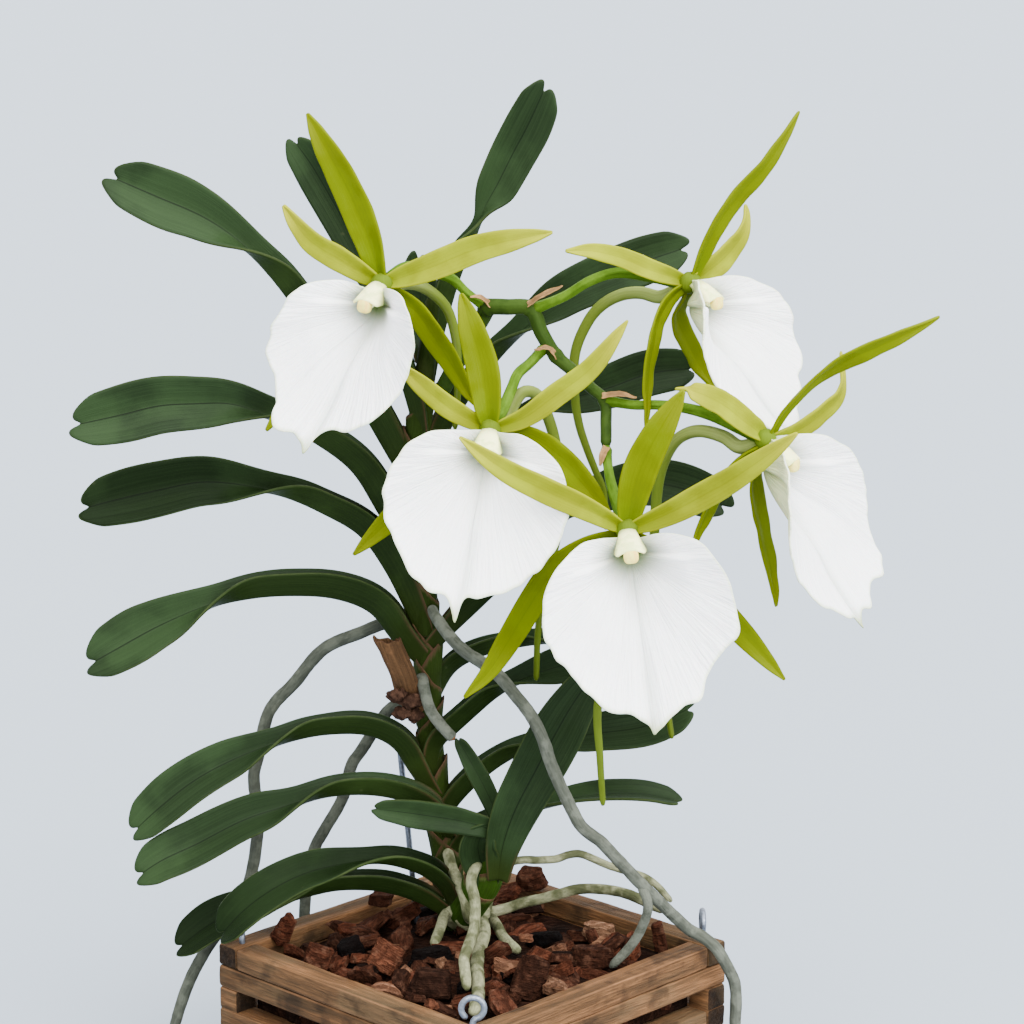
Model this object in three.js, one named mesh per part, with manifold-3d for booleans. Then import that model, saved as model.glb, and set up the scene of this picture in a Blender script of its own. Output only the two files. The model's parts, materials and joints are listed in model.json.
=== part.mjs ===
// A spurred orchid with five white-lipped flowers, rooted in bark in a square basket of wooden slats.
// Millimetres, +Z up. The basket stands on its underside, whose middle is the origin, and its four
// corners lie on the X and Y axes, one of them towards the viewer at -Y.
import * as THREE from 'three';
import { mergeVertices } from 'three/addons/utils/BufferGeometryUtils.js';
import Module from 'manifold-3d';

const wasm = await Module();
wasm.setup();

// The basket: eight courses of slats and blocks
const basketSide = 150;
const slatWidth = 11;
const slatHeight = 9.1;
const seam = 0.3; // what touching pieces keep between them
const crumb = 0.03; // edges shorter than this are dropped after a cut
const course = slatHeight + seam;
const rimTop = 8 * course - seam;
const floorSlatWidth = 18;
const floorSlatOffset = 38;

// The galvanised rods that run down through the corners and end in an eye on top
const rodRadius = 1.25;
const rodHole = 1.65;
const rodFromCentre = 96;
const rodBottom = 2;
const eyeRadius = 4.4;
const eyeHeight = 8.6; // from the rim to the middle of the eye

// The bark and what stands in it
const barkTop = 70;
const barkMound = 3;
const barkRoughness = 1.6;
const barkCells = 8;
const stakeRadius = 1.3;
const crownSize = [11, 10, 9];

// The plant
const stemRadius = 5.2;
const leafThickness = 1.8;
const lobeDepth = 3; // of the notch in a leaf's tip
const rootRadius = 3;
const rootletRadius = 2.3;
const stalkRadius = 2.6;
const pedicelRadius = 1.9;
const knobRadius = 4.6;
const columnRadius = 3;
const spurRadius = 2.6;
const tepalThickness = 1.4;
const lipThickness = 1.6;
const lipHalfWidth = 35.6;
const lipAhead = 15.5; // from the flower's middle to the lip's face
const lipBelow = 9.5; // from the flower's middle to the throat
const cupDepth = 6; // how far the lip's sides come forward
const shoulderDepth = 7; // and how much further beside the throat
const tipCurl = 11.3;

// The photograph's viewpoint, which turns a place in the picture and a depth into millimetres.
// The picture is 1024 pixels square, and depth is the model's own Y.
const view = {
  distance: 1126,
  height: 493,
  pitch: THREE.MathUtils.degToRad(11.78),
  yaw: THREE.MathUtils.degToRad(0.84),
  pixels: 1024,
  focal: (100 / 36) * 1024, // a 100 mm lens on 36 mm film
};

function seen([px, py, depth]) {
  const ray = new THREE.Vector3(px - view.pixels / 2, view.focal, view.pixels / 2 - py);
  ray.applyAxisAngle(new THREE.Vector3(1, 0, 0), -view.pitch);
  ray.applyAxisAngle(new THREE.Vector3(0, 0, 1), -view.yaw);
  const reach = (depth + view.distance) / ray.y;
  return new THREE.Vector3(0, -view.distance, view.height).addScaledVector(ray, reach);
}

const curveThrough = (places) => new THREE.CatmullRomCurve3(places.map(seen), false, 'centripetal');

// Materials
const finish = (color, roughness, metalness = 0) =>
  new THREE.MeshStandardMaterial({ color, roughness, metalness });
const wood = finish(0x8a6444, 0.8);
const zinc = finish(0x9aa0a6, 0.35, 1);
const bark = finish(0x5a3426, 0.95);
const leafGreen = finish(0x2c4a24, 0.4);
const stemGreen = finish(0x55662f, 0.6);
const stalkGreen = finish(0x6f9030, 0.5);
const rootGrey = finish(0x9aa294, 0.7);
const dryBrown = finish(0x8c6a48, 0.9);
const tepalGreen = finish(0xb7bd3a, 0.5);
const lipWhite = finish(0xf3f4f1, 0.5);

// Solids
function solid(geometry) {
  const bare = geometry.clone();
  for (const name of Object.keys(bare.attributes)) {
    if (name !== 'position') bare.deleteAttribute(name);
  }
  const merged = mergeVertices(bare, 1e-4);
  return new wasm.Manifold(new wasm.Mesh({
    numProp: 3,
    vertProperties: merged.attributes.position.array,
    triVerts: new Uint32Array(merged.index.array),
  }));
}

const join = (solids) => solids.reduce((whole, next) => whole.add(next));

// What a cut leaves is the piece itself, the largest of the bits
function cut(whole, ...tools) {
  const left = tools.reduce((rest, tool) => rest.subtract(tool), whole);
  return left.decompose().sort((a, b) => b.volume() - a.volume())[0].simplify(crumb);
}

// A shape with the seam added all round, to cut its room out of a neighbour
function grown(shape) {
  const size = 0.7 * seam;
  const shifts = [[1, 1], [1, -1], [-1, 1], [-1, -1]]
    .map(([x, y]) => shape.translate([x * size, y * size, -seam]));
  return join([shape, ...shifts, ...shifts.map((shift) => shift.translate([0, 0, 2 * seam]))]);
}

const object = new THREE.Group();

function piece(name, shape, material) {
  const { vertProperties, triVerts } = shape.getMesh();
  const geometry = new THREE.BufferGeometry();
  geometry.setAttribute('position', new THREE.BufferAttribute(new Float32Array(vertProperties), 3));
  geometry.setIndex(new THREE.BufferAttribute(new Uint32Array(triVerts), 1));
  geometry.computeVertexNormals();
  const mesh = new THREE.Mesh(geometry, material);
  mesh.name = name;
  object.add(mesh);
  return shape;
}

// A value that changes along a piece, given as [place from 0 to 1, value] stops
const along = (...stops) => (place) => {
  const next = stops.findIndex(([stop]) => stop >= place);
  if (next <= 0) return next ? stops.at(-1)[1] : stops[0][1];
  const [from, before] = stops[next - 1];
  const [to, after] = stops[next];
  return before + (after - before) * THREE.MathUtils.smoothstep(place, from, to);
};

// A round stem, root, stalk or rod along a curve
function tube(curve, radiusAt, { sides = 8, steps = 12, grow = 0 } = {}) {
  const geometry = new THREE.CylinderGeometry(1, 1, 1, sides, steps);
  const frames = curve.computeFrenetFrames(steps, false);
  const spots = geometry.attributes.position;
  for (let i = 0; i < spots.count; i += 1) {
    const place = spots.getY(i) + 0.5;
    const step = Math.round(place * steps);
    const radius = radiusAt(place) + grow;
    const spot = curve.getPointAt(step / steps)
      .addScaledVector(frames.normals[step], spots.getX(i) * radius)
      .addScaledVector(frames.binormals[step], -spots.getZ(i) * radius);
    spots.setXYZ(i, spot.x, spot.y, spot.z);
  }
  return solid(geometry);
}

// A leaf or a tepal is a folded blade along a curve. Its face is a direction at each place, and its
// two halves rise towards that face by the fold.
function blade(curve, { faceAt, widthAt, foldAt, thickness, notch = 0, steps = 12 }) {
  const geometry = new THREE.BoxGeometry(2, 2, 1, 2, 1, steps);
  const spots = geometry.attributes.position;
  for (let i = 0; i < spots.count; i += 1) {
    const across = Math.round(spots.getX(i));
    const place = Math.round((spots.getZ(i) + 0.5) * steps) / steps;
    const tangent = curve.getTangentAt(place);
    const face = faceAt(place, tangent).clone();
    face.addScaledVector(tangent, -face.dot(tangent)).normalize();
    const sideways = new THREE.Vector3().crossVectors(face, tangent);
    const fold = THREE.MathUtils.degToRad(foldAt(place));
    const half = (widthAt(place) / 2) * Math.abs(across);
    const skin = (spots.getY(i) * thickness) / 2;
    const lift = across ? Math.cos(fold) : 1 / Math.cos(fold);
    const spot = curve.getPointAt(place)
      .addScaledVector(sideways, across * (half * Math.cos(fold) - skin * Math.sin(fold)))
      .addScaledVector(face, half * Math.sin(fold) + skin * lift);
    if (place === 1) spot.addScaledVector(tangent, notch * (across - 1) / 2 * (across ? 0.6 : 2));
    spots.setXYZ(i, spot.x, spot.y, spot.z);
  }
  return solid(geometry);
}

// The face of a leaf that grows to one side (1 right, -1 left): up at no turn, at the viewer at 90
function leafFace(side, turnAt) {
  return (place, tangent) => {
    const away = new THREE.Vector3(0, 1, 0).addScaledVector(tangent, -tangent.y).normalize();
    const rise = new THREE.Vector3().crossVectors(tangent, away).multiplyScalar(side);
    const turn = THREE.MathUtils.degToRad(turnAt(place));
    return rise.multiplyScalar(Math.cos(turn)).addScaledVector(away, -Math.sin(turn));
  };
}

// The basket
const quarter = Math.PI / 2;
const sides = ['front_left', 'front_right', 'back_right', 'back_left']; // in order round the basket
const sideTurn = [-3, -1, 1, 3].map((eighths) => (eighths * Math.PI) / 4); // the way each one faces
const corners = ['front', 'right', 'back', 'left'];
const cornerPlaces = [[0, -rodFromCentre], [rodFromCentre, 0], [0, rodFromCentre], [-rodFromCentre, 0]];

function upright(radius, length, x, y, middle, count = 12) {
  const geometry = new THREE.CylinderGeometry(radius, radius, length, count);
  return solid(geometry.rotateX(quarter).translate(x, y, middle));
}

const rodHoles = cornerPlaces.map(([x, y]) => upright(rodHole, 2 * rimTop, x, y, rimTop / 2));

// A slat on one side of the basket. An end that is full reaches the corner, and one that isn't
// butts against its neighbour there.
function slat(index, level, fullStart, fullEnd) {
  const reach = basketSide / 2;
  const start = -reach + (fullStart ? 0 : slatWidth + seam);
  const end = reach - (fullEnd ? 0 : slatWidth + seam);
  const geometry = new THREE.BoxGeometry(slatWidth, end - start, slatHeight);
  geometry.translate(reach - slatWidth / 2, (start + end) / 2, level * course + slatHeight / 2);
  return solid(geometry.rotateZ(sideTurn[index])).subtract(join(rodHoles));
}

// A block at an end of a side, glued to the slat below it
function block(index, level, atEnd) {
  const reach = (basketSide - slatWidth) / 2;
  const height = slatHeight + 2 * seam;
  const geometry = new THREE.BoxGeometry(slatWidth, slatWidth, height);
  geometry.translate(reach, atEnd ? reach : -reach, level * course - 2 * seam + height / 2);
  return solid(geometry.rotateZ(sideTurn[index])).subtract(join(rodHoles));
}

// Which ends of a course's four slats are full, start and end, going round from the front left
const rimEnds = [[false, true], [false, false], [true, true], [false, true]];
const secondEnds = [[true, false], [true, true], [false, true], [false, false]];
const fourthEnds = [[true, true], [false, false], [true, true], [false, false]];

sides.forEach((side, index) => {
  piece(`rim_slat_${side}`, slat(index, 7, ...rimEnds[index]), wood);
  piece(`upper_slat_${side}`, slat(index, 6, ...secondEnds[index]), wood);
  const blocks = fourthEnds[index][0] ? [block(index, 5, false), block(index, 5, true)] : [];
  piece(`middle_slat_${side}`, join([slat(index, 4, ...fourthEnds[index]), ...blocks]), wood);
});

// The lower courses are glued frames with blocks on them, and the lowest holds the floor
function squareFrame(level) {
  const inside = basketSide - 2 * slatWidth;
  const outer = new THREE.BoxGeometry(basketSide, basketSide, slatHeight);
  const inner = new THREE.BoxGeometry(inside, inside, 2 * slatHeight);
  outer.rotateZ(quarter / 2).translate(0, 0, level * course + slatHeight / 2);
  inner.rotateZ(quarter / 2).translate(0, 0, level * course + slatHeight / 2);
  const ring = solid(outer).subtract(solid(inner)).subtract(join(rodHoles));
  return join([ring, ...[0, 2].flatMap((index) => [false, true].map((end) => block(index, level + 1, end)))]);
}

function floorSlat(offset) {
  const geometry = new THREE.BoxGeometry(floorSlatWidth, basketSide - slatWidth, slatHeight);
  return solid(geometry.translate(offset, 0, slatHeight / 2).rotateZ(quarter / 2));
}

piece('lower_frame', squareFrame(2), wood);
piece('base_frame', join([squareFrame(0), ...[-floorSlatOffset, 0, floorSlatOffset].map(floorSlat)]), wood);

corners.forEach((corner, index) => {
  const [x, y] = cornerPlaces[index];
  const eye = new THREE.TorusGeometry(eyeRadius, rodRadius, 6, 18);
  if (x) eye.rotateY(quarter);
  else eye.rotateX(quarter);
  eye.translate(x, y, rimTop + eyeHeight);
  const top = rimTop + eyeHeight - eyeRadius + rodRadius / 2;
  const rod = upright(rodRadius, top - rodBottom, x, y, (top + rodBottom) / 2, 8);
  piece(`eye_rod_${corner}`, solid(eye).add(rod), zinc);
});

// The stem and what stands beside it
const stemPlaces = [
  [456, 935, 36], [453, 915, 35], [445, 850, 33], [437, 800, 32], [430, 740, 31], [428, 690, 30],
  [428, 640, 29], [424, 590, 28], [416, 540, 27], [412, 490, 26], [418, 430, 24], [424, 380, 23],
  [430, 330, 21], [434, 290, 20],
];
const stemCurve = curveThrough(stemPlaces);
const stemTaper = along([0, stemRadius + 0.6], [0.15, stemRadius], [0.8, stemRadius - 0.6], [1, 3]);
const stem = tube(stemCurve, stemTaper, { steps: 24, sides: 10 });
const stemRoom = tube(stemCurve, stemTaper, { steps: 24, sides: 10, grow: seam });
piece('stem', stem, stemGreen);

const stubPlaces = [[388, 640, 12], [393, 660, 13], [403, 680, 15], [412, 700, 19], [422, 716, 27]];
const stubCurve = curveThrough(stubPlaces);
const stub = tube(stubCurve, along([0, 3], [0.3, 4], [1, 4.2]), { steps: 6 });
piece('dried_stalk_stub', cut(stub, stemRoom), dryBrown);

// Leaves: the base stands on its keel with both margins up, then the blade turns to the viewer
const leftLeaves = {
  leaf_left_1: {
    width: 26, fold: 72, turned: 76, twist: [0.54, 0.76],
    places: [[414, 500, 26], [388, 455, 25], [350, 390, 25], [305, 322, 25], [270, 275, 25],
      [240, 243, 25], [205, 218, 24], [157, 197, 23], [104, 174, 22]],
  },
  leaf_left_2: {
    width: 22, fold: 60, turned: 100, twist: [0.3, 0.6],
    places: [[420, 445, 23], [404, 390, 19], [388, 332, 19], [370, 275, 20], [350, 232, 21],
      [330, 195, 22], [311, 163, 22], [291, 136, 22]],
  },
  leaf_left_3: {
    width: 26, fold: 70, turned: 76, twist: [0.42, 0.66],
    places: [[414, 585, 26], [398, 548, 25], [376, 508, 25], [352, 470, 25], [313, 441, 25],
      [268, 417, 25], [230, 404, 24], [195, 404, 24], [159, 406, 23], [122, 415, 22], [67, 427, 20]],
  },
  leaf_left_4: {
    width: 25, fold: 70, turned: 72, twist: [0.42, 0.66],
    places: [[420, 640, 27], [404, 605, 26], [386, 570, 25], [360, 535, 25], [325, 514, 25],
      [288, 497, 25], [250, 487, 24], [205, 482, 24], [160, 490, 23], [108, 502, 22], [76, 511, 20]],
  },
  leaf_left_5: {
    width: 26, fold: 70, turned: 62, twist: [0.5, 0.75],
    places: [[426, 672, 28], [408, 655, 26], [391, 637, 25], [371, 612, 25], [335, 598, 25],
      [290, 595, 25], [250, 598, 24], [206, 607, 23], [160, 626, 22], [120, 648, 20], [84, 668, 18]],
  },
  leaf_left_6: {
    width: 22, fold: 66, turned: 60, twist: [0.4, 0.65],
    places: [[432, 800, 30], [418, 782, 27], [408, 768, 25], [394, 747, 24], [370, 735, 24],
      [326, 734, 24], [280, 743, 23], [240, 757, 22], [196, 780, 20], [160, 808, 18], [130, 836, 16]],
  },
  leaf_left_7: {
    width: 22, fold: 62, turned: 58, twist: [0.35, 0.6],
    places: [[444, 838, 28], [430, 815, 22], [405, 801, 18], [370, 794, 16], [326, 796, 14],
      [285, 807, 14], [245, 820, 13], [196, 845, 12], [160, 862, 10], [134, 880, 8]],
  },
  leaf_left_8: {
    width: 20, fold: 55, turned: 50, twist: [0.3, 0.6],
    places: [[450, 905, 22], [438, 886, 12], [418, 872, 3], [380, 862, -4], [335, 866, -9],
      [300, 876, -12], [265, 895, -15], [240, 915, -16], [218, 940, -17]],
  },
  leaf_left_9: {
    width: 20, fold: 60, turned: 50, twist: [0.4, 0.7],
    places: [[453, 922, 28], [438, 912, 24], [415, 900, 21], [380, 890, 19], [339, 889, 18],
      [300, 897, 18], [260, 905, 18], [215, 922, 17], [174, 952, 14]],
  },
};

const rightLeaves = {
  leaf_top_new: {
    width: 17, fold: 30, turned: 90, twist: [0, 0.2],
    places: [[428, 362, 27], [424, 330, 36], [420, 290, 40], [418, 250, 40]],
  },
  leaf_right_1: {
    width: 20.5, fold: 62, turned: 92, twist: [0.35, 0.6],
    places: [[430, 400, 24], [440, 345, 25], [450, 305, 25], [460, 270, 25], [468, 240, 25],
      [476, 212, 25], [490, 190, 25], [505, 172, 25], [515, 150, 25], [524, 128, 24], [550, 81, 22]],
  },
  leaf_right_2: {
    width: 22, fold: 60, turned: 70, twist: [0.35, 0.6],
    places: [[428, 470, 27], [455, 420, 30], [485, 375, 30], [520, 335, 30], [560, 300, 30],
      [600, 280, 30], [645, 262, 30], [692, 246, 30]],
  },
  leaf_right_3: {
    width: 21, fold: 62, turned: 70, twist: [0.4, 0.66],
    places: [[422, 545, 27], [450, 500, 30], [490, 458, 30], [535, 415, 30], [575, 398, 30],
      [610, 388, 30], [650, 374, 30], [700, 368, 30]],
  },
  leaf_right_4: {
    width: 22, fold: 62, turned: 66, twist: [0.4, 0.66],
    places: [[430, 655, 27], [452, 633, 25], [480, 607, 25], [510, 578, 25], [545, 540, 25],
      [580, 507, 25], [615, 490, 25], [655, 484, 24], [700, 495, 23], [732, 511, 22]],
  },
  leaf_right_5: {
    width: 18, fold: 60, turned: 60, twist: [0.4, 0.7],
    places: [[432, 715, 31], [441, 692, 32], [455, 670, 33], [480, 656, 34], [520, 646, 36],
      [570, 640, 38], [620, 642, 40], [668, 650, 40]],
  },
  leaf_right_6: {
    width: 20, fold: 60, turned: 62, twist: [0.35, 0.62],
    places: [[434, 775, 28], [442, 745, 25], [457, 731, 22], [476, 714, 20], [500, 694, 18],
      [530, 677, 16], [570, 664, 14], [620, 655, 12], [672, 658, 10]],
  },
  leaf_right_7: {
    width: 20, fold: 60, turned: 58, twist: [0.35, 0.62],
    places: [[444, 838, 32], [452, 812, 30], [470, 790, 29], [500, 765, 28], [540, 745, 28],
      [590, 735, 28], [645, 727, 27], [697, 706, 26]],
  },
  leaf_right_8: {
    width: 18, fold: 48, turned: 14, twist: [0.3, 0.6],
    places: [[452, 875, 34], [462, 845, 32], [485, 828, 32], [541, 808, 32], [590, 797, 32],
      [640, 795, 32], [683, 803, 32]],
  },
};

// A leaf is narrow at its base and at the twist, and its tip is rounded
function leaf(side, { width, fold, turned, twist, places }) {
  const [start, end] = twist;
  const waist = (start + end) / 2;
  const outline = along([0, 0.5], [0.2, 0.92], [waist - 0.1, 0.86], [waist, 0.8], [end, 0.96], [0.82, 1],
    [0.94, 0.78], [1, 0.4]);
  return blade(curveThrough(places), {
    faceAt: leafFace(side, along([0, 0], [start, 0], [end, turned], [1, turned])),
    widthAt: (place) => width * outline(place),
    foldAt: along([0, fold], [twist[0], fold], [twist[1], 14], [1, 8]),
    thickness: leafThickness,
    notch: lobeDepth,
    steps: 12,
  });
}

// Where the bases of neighbouring leaves meet on the stem, the later one makes room for the earlier
const leaves = {};
const everyLeaf = [...Object.entries(leftLeaves).map((entry) => [-1, ...entry]),
  ...Object.entries(rightLeaves).map((entry) => [1, ...entry])];
for (const [side, name, shape] of everyLeaf) {
  let grownLeaf = cut(leaf(side, shape), stemRoom);
  for (const other of Object.values(leaves)) {
    if (grownLeaf.intersect(other).volume() > 0) grownLeaf = cut(grownLeaf, grown(other));
  }
  leaves[name] = piece(name, grownLeaf, leafGreen);
}

// The young shoot at the foot, with two roots of its own
const shootPlaces = [[462, 912, 24], [466, 900, 16], [480, 880, 6], [494, 862, 2], [503, 846, 0]];
const shootCurve = curveThrough(shootPlaces);
const shootTaper = along([0, 6], [0.5, 6.5], [1, 3.4]);
const shootStem = tube(shootCurve, shootTaper, { steps: 8 });
const shootRoom = tube(shootCurve, shootTaper, { steps: 8, grow: seam });
const rootlet = (places, radius = rootletRadius, steps = 9) =>
  tube(curveThrough(places), along([0, radius], [0.85, radius], [1, radius * 0.6]), { steps, sides: 6 });
const shootRoots = [
  rootlet([[482, 862, 4], [475, 868, -4], [471, 881, -9], [475, 902, -14], [475, 917, -18],
    [474, 930, -24], [468, 947, -32], [464, 959, -39], [465, 971, -46], [467, 990, -56]]),
  rootlet([[496, 868, 5], [510, 862, 9], [522, 860, 13], [541, 860, 18], [556, 859, 23], [568, 855, 28],
    [580, 854, 33], [610, 866, 40], [650, 880, 44], [672, 902, 40]], 1.7),
];
const footLeaves = [leaves.leaf_left_8, leaves.leaf_left_9, leaves.leaf_right_8].map(grown);
const shoot = cut(join([shootStem, ...shootRoots]), stemRoom, ...footLeaves);
piece('shoot_stem', shoot, stemGreen);

const shootLeaves = {
  shoot_leaf_broad: {
    side: 1, width: 24, fold: 20,
    places: [[498, 880, -3], [503, 845, -8], [515, 810, -10], [533, 775, -10], [553, 738, -9],
      [572, 705, -8], [598, 668, -6]],
  },
  shoot_leaf_narrow: {
    side: -1, width: 9, fold: 20,
    places: [[503, 858, 2], [500, 825, 4], [486, 790, 5], [470, 760, 6], [457, 737, 6]],
  },
  shoot_leaf_left: {
    side: -1, width: 13, fold: 16,
    places: [[500, 852, -4], [490, 830, -8], [467, 822, -10], [440, 817, -10], [405, 812, -9],
      [371, 808, -8]],
  },
};
const shootOutline = along([0, 0.4], [0.4, 0.9], [0.65, 1], [0.92, 0.6], [1, 0.3]);

for (const [name, { side, width, fold, places }] of Object.entries(shootLeaves)) {
  const shape = blade(curveThrough(places), {
    faceAt: leafFace(side, () => 88),
    widthAt: (place) => width * shootOutline(place),
    foldAt: () => fold,
    thickness: leafThickness,
    notch: lobeDepth / 2,
    steps: 10,
  });
  leaves[name] = piece(name, cut(shape, shootRoom, ...Object.values(leaves).slice(-2).map(grown)), leafGreen);
}

// Aerial roots
function root(places, { radius = rootRadius, steps = 16, tip = 0.7 } = {}) {
  const taper = along([0, radius], [0.9, radius * 0.94], [1, radius * tip]);
  return tube(curveThrough(places), taper, { steps, sides: 7 });
}
const rootLeftOuter = root([
  [424, 612, 30], [405, 618, 38], [385, 623, 42], [362, 632, 42], [324, 649, 42], [295, 682, 42],
  [270, 710, 43], [259, 753, 44], [254, 775, 44], [258, 825, 42], [250, 879, 38], [240, 905, 35],
  [211, 942, 32], [190, 980, 28], [175, 1024, 26], [168, 1050, 24],
]);
const rootLeftInner = root([
  [424, 692, 31], [406, 700, 40], [389, 710, 45], [361, 751, 48], [352, 764, 49], [343, 797, 50],
  [322, 834, 52], [315, 847, 52], [307, 880, 53], [305, 905, 54], [303, 940, 54],
], { radius: 2.8 });
const rightRootTrail = root([
  [432, 608, 24], [434, 614, 16], [452, 639, 2], [467, 653, -5], [484, 664, -10], [499, 676, -15],
  [515, 695, -20], [530, 714, -24], [542, 737, -28], [551, 764, -30], [561, 787, -32], [572, 810, -33],
  [582, 827, -34], [601, 842, -33], [620, 862, -30], [650, 893, -24], [676, 918, -15], [690, 930, -12],
  [703, 937, -13], [716, 948, -14], [727, 966, -13], [735, 985, -11], [735, 1024, -10], [731, 1075, -10],
], { steps: 24 });
const rightRootFork = root([
  [640, 884, -26], [648, 905, -28], [635, 940, -24], [610, 968, -22],
], { radius: 2.4, steps: 6 });
const cutRoot = root([
  [422, 676, 30], [423, 683, 18], [426, 697, 14], [431, 711, 11], [440, 724, 8], [452, 737, 5], [455, 740, 5],
], { radius: 2.7, steps: 8, tip: 1 });
piece('root_left_outer', cut(rootLeftOuter, stemRoom), rootGrey);
piece('root_left_inner', cut(rootLeftInner, stemRoom), rootGrey);
piece('root_right', cut(rightRootTrail.add(rightRootFork), stemRoom), rootGrey);
piece('root_short_cut', cut(cutRoot, stemRoom, grown(leaves.shoot_leaf_narrow)), rootGrey);

// The small roots that lie on the bark, and the crown they grow from
const crown = new THREE.SphereGeometry(1, 10, 6);
const crownPlace = seen([466, 909, 27]);
crown.scale(...crownSize).translate(crownPlace.x, crownPlace.y, crownPlace.z);
const smallRoots = [
  rootlet([
    [447, 849, 28], [452, 868, 18], [459, 883, 10], [465, 899, 6], [468, 915, 8], [472, 921, 18],
  ], 2.4),
  rootlet([
    [476, 915, 26], [482, 921, 18], [484, 933, 8], [480, 949, -8], [477, 963, -24], [478, 980, -42],
    [478, 997, -60], [473, 1014, -77],
  ], 2.8, 12),
  rootlet([[472, 908, 28], [487, 914, 34], [496, 924, 24], [504, 938, 8], [519, 952, -8]]),
  rootlet([[474, 908, 30], [487, 912, 34], [504, 909, 38], [522, 903, 38], [541, 899, 38], [559, 894, 37],
    [580, 889, 36], [620, 892, 28], [665, 911, 10]]),
  rootlet([[455, 908, 24], [446, 914, 20], [440, 929, 10], [434, 945, -4]]),
];
const rootRoom = [stemRoom, shootRoom, grown(shoot), ...footLeaves];
const smallRootMass = cut(join([solid(crown), ...smallRoots]), ...rootRoom);
piece('basal_roots', smallRootMass, rootGrey);

// The flower stalk, its joints, bracts and pedicels
const stalkCurve = curveThrough([
  [436, 402, 22], [452, 372, 17], [468, 342, 14], [484, 315, 12], [487, 308, 10], [508, 307, 7],
  [530, 309, 5], [542, 334, 2], [556, 356, -2], [573, 371, -5], [590, 387, -8], [604, 400, -11],
  [606, 425, -16], [606, 449, -20],
]);
const pedicel = (places) => tube(curveThrough(places), () => pedicelRadius, { sides: 7, steps: 7 });
const pedicels = [
  pedicel([[487, 308, 10], [467, 293, 8], [452, 279, 5], [428, 270, 1], [405, 268, -2], [386, 281, -6]]),
  pedicel([[546, 346, 0], [530, 363, -4], [518, 374, -9], [511, 390, -15], [502, 410, -21], [492, 426, -26]]),
  pedicel([[606, 445, -19], [608, 467, -25], [611, 484, -32], [618, 506, -42], [625, 525, -52]]),
  pedicel([[532, 310, 4], [565, 296, 2], [590, 281, 0], [616, 273, 0], [655, 277, -2], [686, 284, -4]]),
  pedicel([
    [603, 400, -11], [634, 405, -16], [659, 405, -21], [685, 408, -28], [711, 415, -35], [740, 428, -42],
    [762, 438, -48],
  ]),
];
const bract = (places) => blade(curveThrough(places), {
  faceAt: () => new THREE.Vector3(0, -0.6, 0.8),
  widthAt: along([0, 5.5], [0.5, 5], [1, 1.4]),
  foldAt: () => 25,
  thickness: 1,
  steps: 4,
});
const bracts = [
  bract([[528, 306, 2], [545, 295, -1], [563, 286, -2]]),
  bract([[556, 358, -4], [548, 349, -6], [534, 350, -7]]),
  bract([[602, 397, -14], [620, 395, -16], [637, 398, -17]]),
];
const stalkTaper = along([0, stalkRadius + 0.3], [0.35, stalkRadius], [0.8, stalkRadius - 0.6], [1, 2]);
const stalk = join([tube(stalkCurve, stalkTaper, { steps: 22 }), ...pedicels, ...bracts]);

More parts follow.
